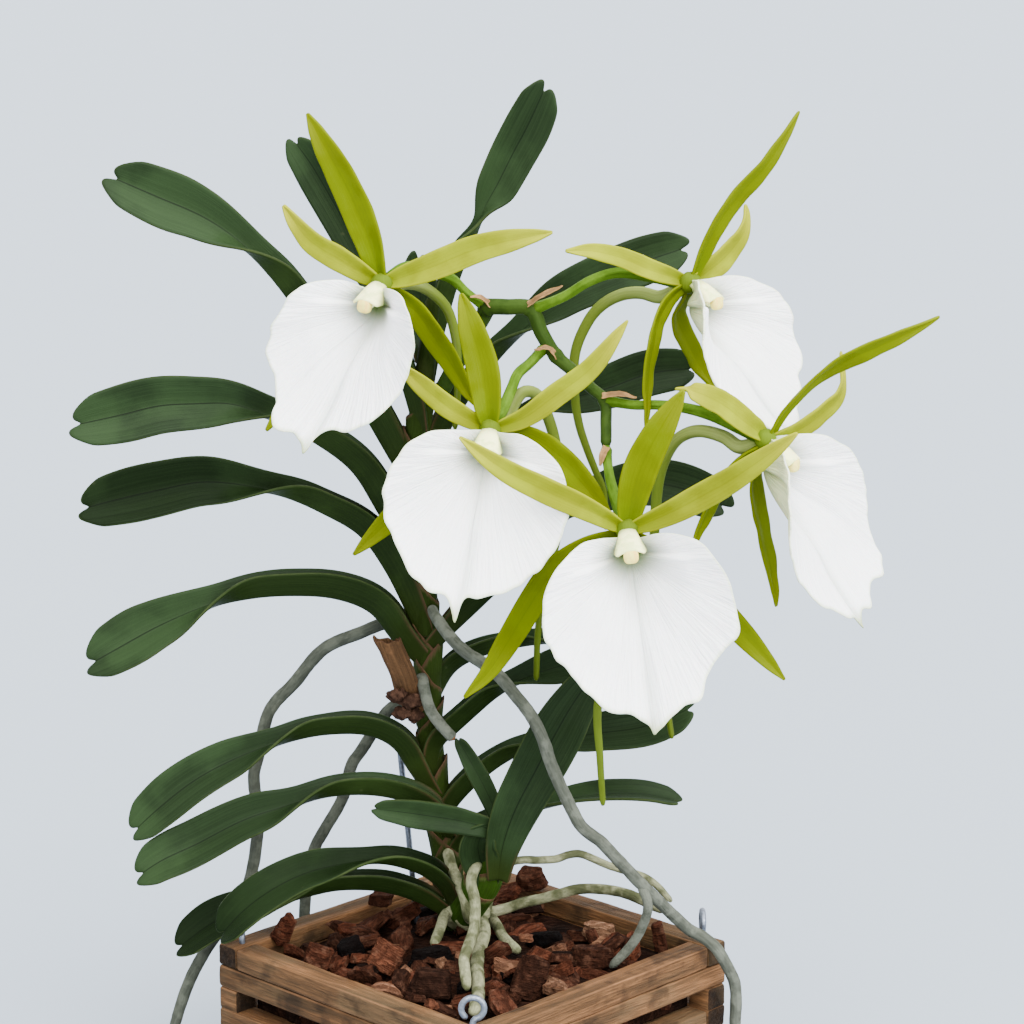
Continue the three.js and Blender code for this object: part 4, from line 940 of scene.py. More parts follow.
# The leaves. The base stands on its keel, then the blade turns its upper side to the viewer. Each has its
# width in millimetres, its fold and turn in degrees, the shares between which it turns, and its places.
leaves = {
    "leaf_left_1": (26, 72, 76, (0.54, 0.76), [
        (414, 500, 26), (388, 455, 25), (350, 390, 25), (305, 322, 25), (270, 275, 25), (240, 243, 25),
        (205, 218, 24), (157, 197, 23), (104, 174, 22)]),
    "leaf_left_2": (18, 60, 100, (0.3, 0.6), [
        (420, 445, 23), (404, 390, 19), (388, 332, 19), (370, 275, 20), (350, 232, 21), (330, 195, 22),
        (311, 163, 22), (291, 136, 22)]),
    "leaf_left_3": (26, 70, 76, (0.42, 0.66), [
        (414, 585, 26), (398, 548, 25), (376, 508, 25), (352, 470, 25), (313, 441, 25), (268, 417, 25),
        (230, 404, 24), (195, 404, 24), (159, 406, 23), (122, 415, 22), (67, 427, 20)]),
    "leaf_left_4": (25, 70, 72, (0.42, 0.66), [
        (420, 640, 27), (404, 605, 26), (386, 570, 25), (360, 535, 25), (325, 514, 25), (288, 497, 25),
        (250, 487, 24), (205, 482, 24), (160, 490, 23), (108, 502, 22), (76, 511, 20)]),
    "leaf_left_5": (26, 70, 62, (0.5, 0.75), [
        (426, 672, 28), (408, 655, 26), (391, 637, 25), (371, 612, 25), (335, 598, 25), (290, 595, 25),
        (250, 598, 24), (206, 607, 23), (160, 626, 22), (120, 648, 20), (84, 668, 18)]),
    "leaf_left_6": (22, 66, 60, (0.4, 0.65), [
        (432, 800, 30), (418, 782, 27), (408, 768, 25), (394, 747, 24), (370, 735, 24), (326, 734, 24),
        (280, 743, 23), (240, 757, 22), (196, 780, 20), (160, 808, 18), (130, 836, 16)]),
    "leaf_left_7": (22, 62, 58, (0.35, 0.6), [
        (444, 838, 28), (430, 815, 22), (405, 801, 18), (370, 794, 16), (326, 796, 14), (285, 807, 14),
        (245, 820, 13), (196, 845, 12), (160, 862, 10), (134, 880, 8)]),
    "leaf_left_8": (20, 55, 50, (0.3, 0.6), [
        (450, 905, 22), (438, 886, 12), (418, 872, 3), (380, 862, -4), (335, 866, -9), (300, 876, -12),
        (265, 895, -15), (240, 915, -16), (218, 940, -17)]),
    "leaf_left_9": (20, 60, 50, (0.4, 0.7), [
        (453, 922, 28), (438, 912, 24), (415, 900, 21), (380, 890, 19), (339, 889, 18), (300, 897, 18),
        (260, 905, 18), (215, 922, 17), (174, 952, 14)]),
    "leaf_top_new": (17, 30, 90, (0.0, 0.2), [
        (428, 362, 27), (424, 330, 36), (420, 290, 40), (418, 250, 40)]),
    "leaf_right_1": (20.5, 62, 92, (0.46, 0.64), [
        (430, 400, 24), (440, 345, 25), (452, 300, 25), (464, 265, 25), (474, 240, 25), (480, 222, 25),
        (487, 203, 25), (497, 185, 25), (512, 155, 25), (528, 125, 24), (548, 81, 22)]),
    "leaf_right_2": (22, 60, 70, (0.35, 0.6), [
        (428, 470, 27), (455, 420, 30), (485, 375, 30), (520, 335, 30), (560, 300, 30), (600, 280, 30),
        (645, 262, 30), (692, 246, 30)]),
    "leaf_right_3": (21, 62, 70, (0.4, 0.66), [
        (422, 545, 27), (450, 500, 30), (490, 458, 30), (535, 415, 30), (575, 398, 30), (610, 388, 30),
        (650, 374, 30), (700, 368, 30)]),
    "leaf_right_4": (22, 62, 66, (0.4, 0.66), [
        (430, 655, 27), (452, 633, 25), (480, 607, 25), (510, 578, 25), (545, 540, 25), (580, 507, 25),
        (615, 490, 25), (655, 484, 24), (700, 495, 23), (732, 511, 22)]),
    "leaf_right_5": (18, 60, 60, (0.4, 0.7), [
        (432, 715, 31), (441, 692, 32), (455, 670, 33), (480, 656, 34), (520, 646, 36), (570, 640, 38),
        (620, 642, 40), (668, 650, 40)]),
    "leaf_right_6": (20, 60, 62, (0.35, 0.62), [
        (434, 775, 28), (442, 745, 25), (457, 731, 22), (476, 714, 20), (500, 694, 18), (530, 677, 16),
        (570, 664, 14), (620, 655, 12), (672, 658, 10)]),
    "leaf_right_7": (20, 60, 58, (0.35, 0.62), [
        (444, 838, 32), (452, 812, 30), (470, 790, 29), (500, 765, 28), (540, 745, 28), (590, 735, 28),
        (645, 727, 27), (697, 706, 26)]),
    "leaf_right_8": (18, 48, 14, (0.3, 0.6), [
        (452, 875, 34), (462, 845, 32), (485, 828, 32), (541, 808, 32), (590, 797, 32), (640, 795, 32),
        (683, 803, 32)]),
}
leafDetail = {
    "cells": (14, 44),
    "thickness": 0.0015,
    "ripple": 0.0005,
    "lobeMiddle": 0.4,
    "notch": 0.0042,
    "corner": 0.0085,
    "shorterLobe": 0.0026,
    "outerFold": (24, 16),
    # these leaves take the darker copy of the leaf material, which is painted shade
    "dark": ["leaf_left_4", "leaf_left_8", "leaf_left_9"],
    "lobeWidth": 24,  # millimetres: the leaf's width that the notch, corner and shorter lobe are for
    "waist": 0.66,
    "narrowWaists": {"leaf_right_1": 0.3},
}


def leafSide(name):
    return -1 if "left" in name else 1


def leafFace(side, turnAt):  # up at no turn, at the viewer at 90 degrees
    def faceAt(share, tangent):
        away = (backwards - tangent * tangent.y).normalized()
        turn = math.radians(turnAt(share))
        return tangent.cross(away) * side * math.cos(turn) - away * math.sin(turn)
    return faceAt


def lobeEnd(s, size=1.0):
    lobe = leafDetail["lobeMiddle"]
    if abs(s) < lobe:
        end = -leafDetail["notch"] * (1 - abs(s) / lobe) ** 3
    else:
        end = -leafDetail["corner"] * ((abs(s) - lobe) / (1 - lobe)) ** 2.2
    shorter = leafDetail["shorterLobe"] * (1 - smooth(s, -0.08, 0.08))
    return size * (end - shorter)


def leafPiece(name, width, fold, turned, twist, places, seed):
    start, end = twist
    waist = (start + end) / 2
    narrow = leafDetail["narrowWaists"].get(name, leafDetail["waist"])
    if start < 0.2:
        outline = along([0, 0.62], [0.5, 1], [0.8, 0.86], [1, 0.6])
        turnAt = along([0, 60], [end, turned], [1, turned])
    else:
        wideAgain = max(end + 0.02, waist + 0.08)
        outline = along([0, 0.6], [0.18, 0.92], [waist - 0.1, 0.8], [waist, narrow], [wideAgain, 0.9],
                        [0.84, 1], [0.94, 0.86], [1, 0.6])
        turnAt = along([0, 0], [start, 0], [end, turned], [1, turned + 0.01])
    route = routeThrough(places)
    ribbon = Ribbon(route, leafFace(leafSide(name), turnAt))
    size = width / leafDetail["lobeWidth"]
    near, far = leafDetail["outerFold"]
    upper = leafInShade if name in leafDetail["dark"] else leafUpper
    return bladePiece(
        name + "_blade", ribbon, route.length, lambda share: width * millimetre * outline(share),
        along([0, fold], [max(start, 0.01), fold], [end, near], [1, far]), (upper, leafUnder, leafEdge),
        cells=leafDetail["cells"], thickness=leafDetail["thickness"], ripple=leafDetail["ripple"], seed=seed,
        endAt=lambda s: lobeEnd(s, size),
    )


def makeLeaves():
    for number, (name, spec) in enumerate(leaves.items()):
        settle(leafPiece(name, *spec, number * 1.37), "leaf", name)


sheathed = [name for name in leaves if name != "leaf_top_new"]
makeStem([(seen(*leaves[name][4][0]), leafSide(name)) for name in sheathed])
makeStub()
makeLeaves()
print("stem and leaves made")


# The young shoot at the foot. Each sheath has the shares where it starts and ends, its side and its
# extra radius. Each leaf has its side, its width in millimetres, its fold in degrees and its places.
shoot = {
    "places": [(464, 912, 24), (472, 900, 16), (484, 880, 6), (491, 860, 2), (497, 843, 0)],
    "sheaths": [(0.0, 0.5, -1, 0.0010), (0.22, 0.72, 1, 0.0008), (0.5, 0.95, -1, 0.0006)],
    "outline": along([0, 0.4], [0.4, 0.9], [0.65, 1], [0.9, 0.72], [1, 0.42]),
    "sheathSlope": 0.12,
    "sheathTear": 0.03,
    "sheathFlare": 0.0014,
    "sheathThickness": 0.0006,
    "leafTurn": 88,
    "leafThickness": 0.0014,
    "leafRipple": 0.0006,
    "leafCells": (12, 40),
    "lobeWidth": 30,
    "grownTogether": ("shoot_leaf_base", "shoot_leaf_folded"),  # parts of the left leaf's node
    "leaves": {
        "shoot_leaf_broad": (1, 24, 20, [(498, 880, -3), (503, 845, -8), (515, 810, -10), (533, 775, -10),
                                         (553, 738, -9), (572, 705, -8), (598, 668, -6)]),
        "shoot_leaf_narrow": (-1, 9, 20, [(503, 858, 2), (500, 825, 4), (486, 790, 5), (470, 760, 6),
                                          (457, 737, 6)]),
        "shoot_leaf_left": (-1, 13, 16, [(500, 852, -4), (490, 830, -8), (467, 822, -10), (440, 817, -10),
                                         (405, 812, -9), (371, 808, -8)]),
        "shoot_leaf_base": (-1, 19, 30, [(488, 890, 4), (485, 872, 0), (479, 855, -3), (479, 840, -6),
                                         (492, 823, -8)]),
        "shoot_leaf_folded": (1, 8, 48, [(500, 850, -1), (506, 834, -3), (512, 818, -4), (522, 801, -4)]),
    },
}
shootTaper = along([0, 0.006], [0.5, 0.0065], [1, 0.0034])


def shootSheath(name, ribbon, start, end, side, wider, seed):
    def place(u, v):
        angle = 2 * math.pi * u
        high = 0.5 + 0.5 * math.cos(angle) * -side
        top = end + shoot["sheathSlope"] * high
        top += shoot["sheathTear"] * grit(math.cos(angle) * 3, math.sin(angle) * 3, seed)
        share = start + (top - start) * v
        radius = shootTaper(share) + wider + shoot["sheathFlare"] * v**3 * high
        return ribbon.at(share, radius * math.cos(angle), radius * math.sin(angle))

    sheath = weld(gridPiece(name, 24, 14, place, shootSkin, shootSkin, paperBrown))
    return thicken(sheath, shoot["sheathThickness"])


def shootLeaf(name, side, width, fold, places, seed):
    route = routeThrough(places)
    return bladePiece(
        name + "_blade", Ribbon(route, leafFace(side, lambda share: shoot["leafTurn"])), route.length,
        lambda share: width * millimetre * shoot["outline"](share), lambda share: fold,
        (leafUpper, leafUnder, leafEdge), cells=shoot["leafCells"], thickness=shoot["leafThickness"],
        ripple=shoot["leafRipple"], seed=seed, endAt=lambda s: lobeEnd(s, width / shoot["lobeWidth"]),
    )


def makeShoot():
    route = routeThrough(shoot["places"])
    ribbon = Ribbon(route, lambda share, tangent: -backwards, 60)
    settle(tubePiece("shoot_core", route, shootTaper, shootSkin, sides=20, steps=40), "stem", "shoot_stem")
    for number, sheath in enumerate(shoot["sheaths"]):
        piece = shootSheath(f"shoot_sheath_{number + 1}", ribbon, *sheath, number)
        settle(piece, "stem", "shoot_stem")
    for number, (name, spec) in enumerate(shoot["leaves"].items()):
        blade = shootLeaf(name, *spec, number + 20.5)
        settle(blade, "leaf", "shoot_leaf_left" if name in shoot["grownTogether"] else name)


# The roots of each node: the radius in millimetres, the skin and the places of every strand
roots = {
    "root_left_outer": [(2.7, "shaded", [
        (424, 612, 30), (405, 618, 38), (385, 623, 42), (362, 632, 42), (324, 649, 42), (295, 682, 42),
        (270, 710, 43), (259, 753, 44), (254, 775, 44), (258, 825, 42), (250, 879, 38), (240, 905, 35),
        (211, 942, 32), (190, 980, 28), (175, 1024, 26), (168, 1050, 24)])],
    "root_left_inner": [(2.6, "shaded", [
        (424, 692, 31), (406, 700, 40), (389, 710, 45), (361, 751, 48), (352, 764, 49), (343, 797, 50),
        (322, 834, 52), (315, 847, 52), (307, 880, 53), (305, 905, 54), (303, 940, 54)])],
    "root_right": [(2.6, "silver", [
        (432, 608, 24), (434, 614, 16), (452, 639, 2), (467, 653, -5), (484, 664, -10), (499, 676, -15),
        (515, 695, -20), (530, 714, -24), (542, 737, -28), (551, 764, -30), (561, 787, -32), (572, 810, -33),
        (582, 827, -34), (601, 842, -33), (620, 862, -30), (650, 893, -24), (676, 918, -15), (690, 930, -12),
        (703, 937, -13), (716, 948, -14), (727, 966, -13), (735, 985, -11), (735, 1024, -10),
        (731, 1075, -10)]),
        (2.0, "silver", [(640, 884, -26), (648, 905, -28), (635, 940, -24), (610, 968, -22)])],
    "root_short_cut": [(2.5, "cut", [
        (422, 676, 30), (423, 683, 18), (426, 697, 14), (431, 711, 11), (440, 724, 8), (452, 737, 5),
        (455, 740, 5)])],
    "shoot_stem": [
        (2.3, "mottled", [
            (482, 862, 4), (475, 868, -4), (471, 881, -9), (475, 902, -14), (475, 917, -18), (474, 930, -24),
            (468, 947, -32), (464, 959, -39), (465, 971, -46), (467, 990, -56)]),
        (1.7, "mottled", [
            (496, 868, 5), (510, 862, 9), (522, 860, 13), (541, 860, 18), (556, 859, 23), (568, 855, 28),
            (580, 854, 33), (610, 866, 40), (650, 880, 44), (672, 902, 40)])],
    "basal_roots": [
        (2.4, "mottled", [
            (447, 849, 28), (452, 868, 18), (459, 883, 10), (465, 899, 6), (468, 915, 8), (472, 921, 18)]),
        (2.8, "mottled", [
            (476, 915, 26), (482, 921, 18), (484, 933, 8), (480, 949, -8), (477, 963, -24), (478, 980, -42),
            (478, 997, -60), (473, 1014, -77)]),
        (2.3, "mottled", [(472, 908, 28), (487, 914, 34), (496, 924, 24), (504, 938, 8), (519, 952, -8)]),
        (2.3, "mottled", [
            (474, 908, 30), (487, 912, 34), (504, 909, 38), (522, 903, 38), (541, 899, 38), (559, 894, 37),
            (580, 889, 36), (620, 892, 28), (665, 911, 10)]),
        (2.3, "mottled", [(455, 908, 24), (446, 914, 20), (440, 929, 10), (434, 945, -4)])],
}
crown = {"place": (466, 909, 27), "radii": (0.011, 0.010, 0.009)}
rootDetail = {"step": 0.0016, "sides": 16, "lumps": 0.07, "pits": 0.035, "cutFace": 0.0012}
rootSkins = {"silver": rootSilver, "shaded": rootShaded, "cut": rootSilver, "mottled": rootMottled}


def rootPiece(name, radius, kind, places, seed):
    route = routeThrough(places)
    size = radius * millimetre
    tip = 1.0 if kind == "cut" else 0.72
    taper = along([0, size * 0.8], [0.08, size], [0.9, size * 0.95], [1, size * tip])
    skin = rootSkins[kind]

    def lump(angle, share):
        far = share * route.length / size
        broad = rootDetail["lumps"] * grit(math.cos(angle), math.sin(angle), far * 0.45 + seed)
        fine = rootDetail["pits"] * grit(math.cos(angle) * 3, math.sin(angle) * 3, far * 1.6 + seed)
        return 1 + broad + fine

    cap = (0.0, 0.9, 1.0) if kind == "cut" else (0.0, 0.6, 1.0)
    steps = max(round(route.length / rootDetail["step"]), 20)
    return tubePiece(name, route, taper, skin, rootDetail["sides"], steps, cap, lump)


def makeRoots():
    for node, parts in roots.items():
        slotName = "stem" if node == "shoot_stem" else "root"
        for number, (radius, kind, places) in enumerate(parts):
            name = f"{node}_strand_{number + 1}"
            piece = rootPiece(name, radius, kind, places, len(node) + number * 2.3)
            if kind == "cut":
                paintEnd(piece, seen(*places[-1]), radius * millimetre * 0.6)
            settle(piece, slotName, node)
    crownPiece = ballPiece("root_crown", seen(*crown["place"]), crown["radii"], rootMottled, lumps=0.25)
    settle(crownPiece, "root", "basal_roots")


def paintEnd(piece, spot, reach):  # the brown face of a cut
    piece.data.materials.append(rootTip)
    for polygon in piece.data.polygons:
        if (polygon.center - spot).length < reach + rootDetail["cutFace"]:
            polygon.material_index = 1


makeShoot()
makeRoots()
print("shoot and roots made")


# The flower stalk, its joints, bracts and pedicels
stalk = {
    "radius": along([0, 0.0034], [0.2, 0.0034], [0.5, 0.0031], [0.8, 0.0024], [1, 0.0022]),
    "swell": 0.16,
    "ridge": 0.03,
    "ringJoint": 1,
    "ringWider": 1.22,
    "bractWidth": along([0, 0.0036], [0.5, 0.0032], [1, 0.0009]),
    "places": [(436, 402, 22), (452, 372, 17), (468, 342, 14), (484, 315, 12), (487, 308, 10), (508, 307, 7),
               (530, 309, 5), (542, 334, 2), (556, 356, -2), (573, 371, -5), (590, 387, -8), (604, 400, -11),
               (606, 425, -16), (606, 449, -20)],
    "joints": [(462, 353, 15), (487, 308, 10), (530, 309, 5), (556, 356, -2), (604, 400, -11)],
    "pedicelRadius": 0.0021,
    "pedicelShape": ((0, 1.15), (0.15, 0.92), (1, 1.25)),
    "pedicelRidge": 0.075,
    "pedicels": [
        [(487, 308, 10), (467, 293, 8), (452, 279, 5), (428, 270, 1), (405, 268, -2), (386, 281, -6)],
        [(546, 346, 0), (530, 363, -4), (518, 374, -9), (511, 390, -15), (502, 410, -21), (492, 426, -26)],
        [(606, 445, -19), (608, 467, -25), (611, 484, -32), (618, 506, -42), (625, 525, -52)],
        [(532, 310, 4), (565, 296, 2), (590, 281, 0), (616, 273, 0), (655, 277, -2), (686, 284, -4)],
        [(603, 400, -11), (634, 405, -16), (659, 405, -21), (685, 408, -28), (711, 415, -35), (740, 428, -42),
         (762, 438, -48)],
    ],
    "bracts": [
        [(528, 306, 2), (545, 295, -1), (563, 286, -2)],
        [(556, 358, -4), (548, 349, -6), (534, 350, -7)],
        [(602, 397, -14), (620, 395, -16), (637, 398, -17)],
        [(607, 447, -22), (603, 455, -24), (600, 466, -25)],
        [(490, 306, 7), (480, 298, 5), (470, 297, 3)],
    ],
}


def makeStalk():
    route = routeThrough(stalk["places"])
    joints = [route.nearest(seen(*place)) for place in stalk["joints"]]

    def lump(angle, share):
        swell = sum(math.exp(-(((share - joint) / 0.012) ** 2)) for joint in joints)
        return 1 + stalk["swell"] * swell + stalk["ridge"] * math.cos(5 * angle + share * 9)

    core = tubePiece("stalk_core", route, stalk["radius"], stalkGreen, 18, 150, lump=lump)
    settle(core, "stalk", "flower_stalk")
    joint = joints[stalk["ringJoint"]]
    ring = Route([route.at(joint + offset) for offset in (-0.004, -0.0015, 0.0015, 0.004)])
    ringRadius = stalk["radius"](joint) * stalk["ringWider"]
    collar = tubePiece("stalk_joint_ring", ring, lambda share: ringRadius, ringDark, 18, 9, (0.0, 0.9, 1.0))
    settle(collar, "stalk", "flower_stalk")
    for number, places in enumerate(stalk["pedicels"]):
        line = routeThrough(places)
        width = along(*([share, stalk["pedicelRadius"] * wider] for share, wider in stalk["pedicelShape"]))
        ridges = lambda angle, share: 1 + stalk["pedicelRidge"] * math.cos(6 * angle + 5 * share + number)
        piece = tubePiece(f"pedicel_{number + 1}", line, width, pedicelGreen, 24, 70, lump=ridges)
        settle(piece, "stalk", "flower_stalk")
    for number, places in enumerate(stalk["bracts"]):
        line = routeThrough(places)
        ribbon = Ribbon(line, lambda share, tangent: Vector((0, -0.6, 0.8)), 40)
        bract = bladePiece(f"bract_{number + 1}", ribbon, line.length, stalk["bractWidth"],
                           lambda share: 32, (bractTan, bractTan, bractTan), cells=(10, 16), thickness=0.0005,
                           ripple=0.0006, seed=number * 1.9)
        settle(bract, "stalk", "flower_stalk")


makeStalk()
print("stalk made")


# The flowers. Each faces a way (degrees right of the viewer and up) and leans (its lip's tip to the
# right). A tepal has its width in millimetres and its places. The rims are places in the picture.
flowers = [
    {
        "centre": (382, 284, -10), "faces": -28, "rises": 5, "leans": -5, "size": 0.92,
        "tepals": {
            "dorsal": (15, [(382, 284, -9), (370, 240, -7), (352, 196, -6), (329, 152, -6), (307, 113, -5)]),
            "petal_left": (11, [(382, 284, -9), (345, 262, -6), (310, 240, -2), (283, 205, 3)]),
            "petal_right": (12.5, [(382, 284, -9), (430, 268, -14), (480, 248, -20), (553, 232, -28)]),
            "lateral_right": (11.5, [(382, 286, -8), (415, 310, -8), (440, 345, -6), (476, 405, -4)]),
            "lateral_left": (12, [(380, 286, -8), (330, 350, 2), (290, 400, 7), (266, 431, 8)]),
        },
        "rimLeft": [(368, 288), (346, 281), (323, 280), (295, 289), (279, 313), (264, 349), (268, 364),
                    (277, 399), (269, 415), (283, 431), (299, 443), (303, 457)],
        "rimRight": [(311, 440), (329, 430), (342, 434), (371, 422), (389, 408), (403, 385), (414, 344),
                     (412, 325), (403, 298), (388, 288)],
        "spur": [(384, 288, -7), (405, 283, -2), (425, 288, 2), (446, 307, 5), (455, 334, 6),
                 (458, 380, 6), (455, 430, 6)],
    },
    {
        "centre": (490, 430, -28), "faces": -3, "rises": 4, "leans": -8, "size": 0.95,
        "tepals": {
            "dorsal": (14, [(490, 430, -27), (483, 370, -27), (472, 330, -26), (461, 293, -25)]),
            "petal_left": (9.5, [(490, 430, -27), (450, 408, -26), (425, 388, -25), (395, 362, -23)]),
            "petal_right": (10, [(490, 430, -27), (524, 418, -27), (556, 395, -28), (590, 369, -28),
                                 (628, 320, -28)]),
            "lateral_right": (13, [(492, 431, -26), (530, 440, -25), (565, 465, -26), (592, 495, -28),
                                   (612, 522, -30)]),
            "lateral_left": (12, [(488, 432, -26), (440, 470, -18), (395, 515, -14), (353, 555, -12)]),
        },
        "rimLeft": [(479, 430), (454, 430), (432, 431), (411, 440), (394, 460), (384, 487), (382, 512),
                    (390, 537), (405, 561), (411, 581), (429, 591), (449, 601), (456, 618)],
        "rimRight": [(463, 601), (482, 595), (510, 592), (538, 570), (562, 542), (568, 500), (562, 472),
                     (543, 448), (520, 434), (505, 433)],
        "spur": [(494, 436, -24), (506, 424, -14), (514, 404, -9), (524, 392, -7), (536, 394, -6),
                 (547, 415, -5), (556, 446, -5), (562, 500, -4), (552, 560, -3), (539, 622, -3),
                 (536, 681, -2)],
    },
    {
        "centre": (627, 530, -58), "faces": -1, "rises": 3, "leans": 8, "size": 1.03,
        "tepals": {
            "dorsal": (14.5, [(627, 530, -57), (632, 500, -58), (640, 470, -60), (655, 438, -62),
                              (684, 390, -64)]),
            "petal_left": (11, [(627, 530, -57), (585, 508, -60), (545, 490, -64), (505, 470, -69),
                                (459, 437, -74)]),
            "petal_right": (11.5, [(627, 530, -57), (665, 515, -61), (700, 497, -67), (735, 477, -74),
                                   (798, 433, -86)]),
            "lateral_left": (12, [(625, 532, -56), (585, 548, -54), (553, 572, -52), (530, 605, -50),
                                  (488, 672, -47), (464, 698, -46)]),
            "lateral_right": (12, [(629, 532, -56), (680, 570, -50), (730, 620, -45), (785, 680, -42)]),
        },
        "rimLeft": [(613, 538), (596, 539), (581, 544), (555, 571), (544, 602), (544, 640), (566, 671),
                    (589, 698), (604, 707), (627, 715), (649, 724), (654, 736)],
        "rimRight": [(658, 726), (688, 707), (702, 697), (708, 678), (720, 658), (740, 629), (737, 600),
                     (725, 570), (698, 541), (681, 535), (658, 533), (639, 538)],
        "spur": [(628, 532, -55), (634, 560, -48), (625, 620, -44), (610, 670, -42), (598, 704, -41),
                 (600, 760, -40), (603, 806, -39)],
    },
    {
        "centre": (690, 283, -6), "faces": 52, "rises": 7, "leans": -1, "size": 0.95, "bulge": 0,
        "tepals": {
            "dorsal": (11, [(690, 283, -5), (706, 245, -6), (722, 215, -7), (742, 190, -8), (765, 165, -9),
                            (800, 111, -10)]),
            "petal_left": (9.5, [(690, 283, -5), (655, 272, -8), (620, 258, -11), (590, 251, -13),
                                 (565, 251, -14)]),
            "petal_right": (11, [(690, 283, -5), (715, 265, 3), (732, 248, 10), (744, 228, 14),
                                 (745, 204, 16)]),
            "lateral_left": (8, [(688, 284, -5), (672, 296, -10), (659, 318, -16), (652, 345, -20),
                                 (648, 375, -22), (646, 428, -24)]),
            "lateral_right": (13, [(690, 284, -4), (676, 315, 4), (688, 345, 10), (703, 372, 13),
                                   (718, 395, 14)]),
        },
        "spur": [(686, 286, -2), (672, 293, 1), (659, 297, 4), (642, 293, 7), (625, 294, 10),
                 (608, 301, 12), (594, 313, 13), (584, 329, 13), (577, 346, 13), (574, 363, 13),
                 (575, 398, 13), (579, 424, 12), (587, 449, 10), (596, 472, 8), (603, 489, 7),
                 (606, 530, 6)],
    },
    {
        "centre": (766, 440, -50), "faces": 60, "rises": -2, "leans": 3, "size": 1.03, "bulge": 0.5,
        "tepals": {
            "dorsal": (11, [(766, 440, -49), (786, 408, -52), (805, 388, -55), (828, 370, -57),
                            (852, 357, -58), (878, 345, -58), (940, 316, -57)]),
            "petal_left": (12.5, [(766, 440, -49), (742, 420, -52), (718, 402, -54), (695, 392, -54),
                                  (675, 388, -52)]),
            "petal_right": (10, [(766, 440, -49), (798, 430, -44), (822, 412, -38), (840, 394, -33),
                                 (841, 351, -28)]),
            "lateral_left": (13, [(764, 442, -49), (752, 480, -43), (757, 510, -39), (765, 545, -37),
                                  (776, 607, -36)]),
            "lateral_right": (12, [(764, 442, -49), (735, 462, -46), (718, 490, -44), (703, 520, -44),
                                   (690, 548, -45)]),
        },
        "spur": [(762, 442, -46), (740, 447, -41), (724, 437, -36), (701, 431, -31), (686, 434, -27),
                 (674, 443, -24), (661, 470, -21), (655, 520, -19), (655, 600, -18), (663, 680, -18),
                 (672, 739, -18)],
    },
]
tepal = {
    "outline": along([0, 0.42], [0.14, 0.8], [0.4, 1], [0.7, 0.84], [0.9, 0.48], [1, 0.1]),
    "fold": along([0, 34], [0.25, 22], [0.7, 16], [1, 30]),
    "thickness": 0.0011,
    "recurve": 0.12,
    "ripple": 0.0009,
    "cells": (10, 32),
    "soft": 0.35,
}
# Half of the outline of a lip that's seen from its side, from the top by the column round to the tip,
# across and down from the throat as shares of the lip's half width. The lips that face the viewer
# follow the rims in their own lists.
lipOutline = [
    (0.13, -0.3), (0.32, -0.31), (0.51, -0.27), (0.67, -0.16), (0.82, -0.04), (0.9, 0.11),
    (0.97, 0.27), (1, 0.49), (0.99, 0.64), (0.93, 0.81), (0.83, 0.96), (0.72, 1.11),
    (0.59, 1.27), (0.44, 1.35), (0.26, 1.46), (0.1, 1.5), (0.04, 1.55), (0, 1.67),
]
lip = {
    "halfWidth": 0.0356,
    "ahead": 0.0155,
    "below": 0.0095,
    "cup": 0.006,
    "shoulder": 0.007,
    "tipCurl": 0.0113,
    "cells": (90, 20),
    "thickness": 0.0009,
    "wave": 0.0017,
    "pleats": 34,
    "pleatDepth": 0.00035,
    "crinkle": 0.045,
    "crease": 0.0018,
    "throat": (0.04, 0.5),
    "searchStep": 0.00025,
    "searchSteps": 180,
}
column = {
    "length": [(0, 0, 0.001), (0, -0.0035, 0.0055), (0, -0.009, 0.010)],
    "radius": along([0, 0.0026], [0.5, 0.0026], [1, 0.0029]),
    "wing": along([0, 0.0026], [0.45, 0.0041], [1, 0.0060]),
    "wingTurn": 98,
    "tooth": 0.0004,
    "cutBack": 0.0022,
    "flatness": 0.72,
    "thickness": 0.0011,
    "capPlace": (0, -0.0084, 0.0119),
    "capRadii": (0.0029, 0.0021, 0.0028),
}
knobRadius = 0.0044
spur = {"radius": along([0, 0.0031], [0.15, 0.0026], [0.45, 0.0021], [1, 0.0012]), "groove": 0.09}


def flowerFrame(flower):
    middle = seen(*flower["centre"])
    azimuth, rise = math.radians(flower["faces"]), math.radians(flower["rises"])
    out = Vector((math.sin(azimuth) * math.cos(rise), -math.cos(azimuth) * math.cos(rise), math.sin(rise)))
    right = upwards.cross(out).normalized()
    right.rotate(Quaternion(out, math.radians(flower["leans"])))
    up = out.cross(right)
    return middle, right, up, out


def inFrame(frame, across, above, ahead):
    middle, right, up, out = frame
    return middle + right * across + up * above + out * ahead


def lipLift(across, down, share):  # how far the lip's face stands ahead of the flower's middle
    cup = (lip["cup"] + lip["shoulder"] * min(max(1 - down, 0), 1.4)) * across**2
    curl = lip["tipCurl"] * max(0, down) ** 2
    besideColumn = 1 - 0.9 * max(1 - abs(across), 0) ** 2 if down < 0 else 1
    return cup + curl + lip["ahead"] * smooth(share, 0, 0.6) * besideColumn


def rimPoint(pixel, side, flower, frame):  # where the sight line through a pixel meets the lip's own face
    middle, right, up, out = frame
    start, ray = rayThrough(*pixel)
    half, below = lip["halfWidth"] * flower["size"], lip["below"] * flower["size"]
    reach = (middle.y - start.y) / ray.y
    found = []
    for step in range(-lip["searchSteps"], lip["searchSteps"] + 1):
        spot = start + ray * (reach + step * lip["searchStep"] / ray.length) - middle
        across, down = spot.dot(right) / half, (-spot.dot(up) - below) / half
        if across * side > -0.1:
            found.append((abs(spot.dot(out) - lipLift(across, down, 1)), across, down))
    _, across, down = min(found)
    return Vector((across, down, 0))


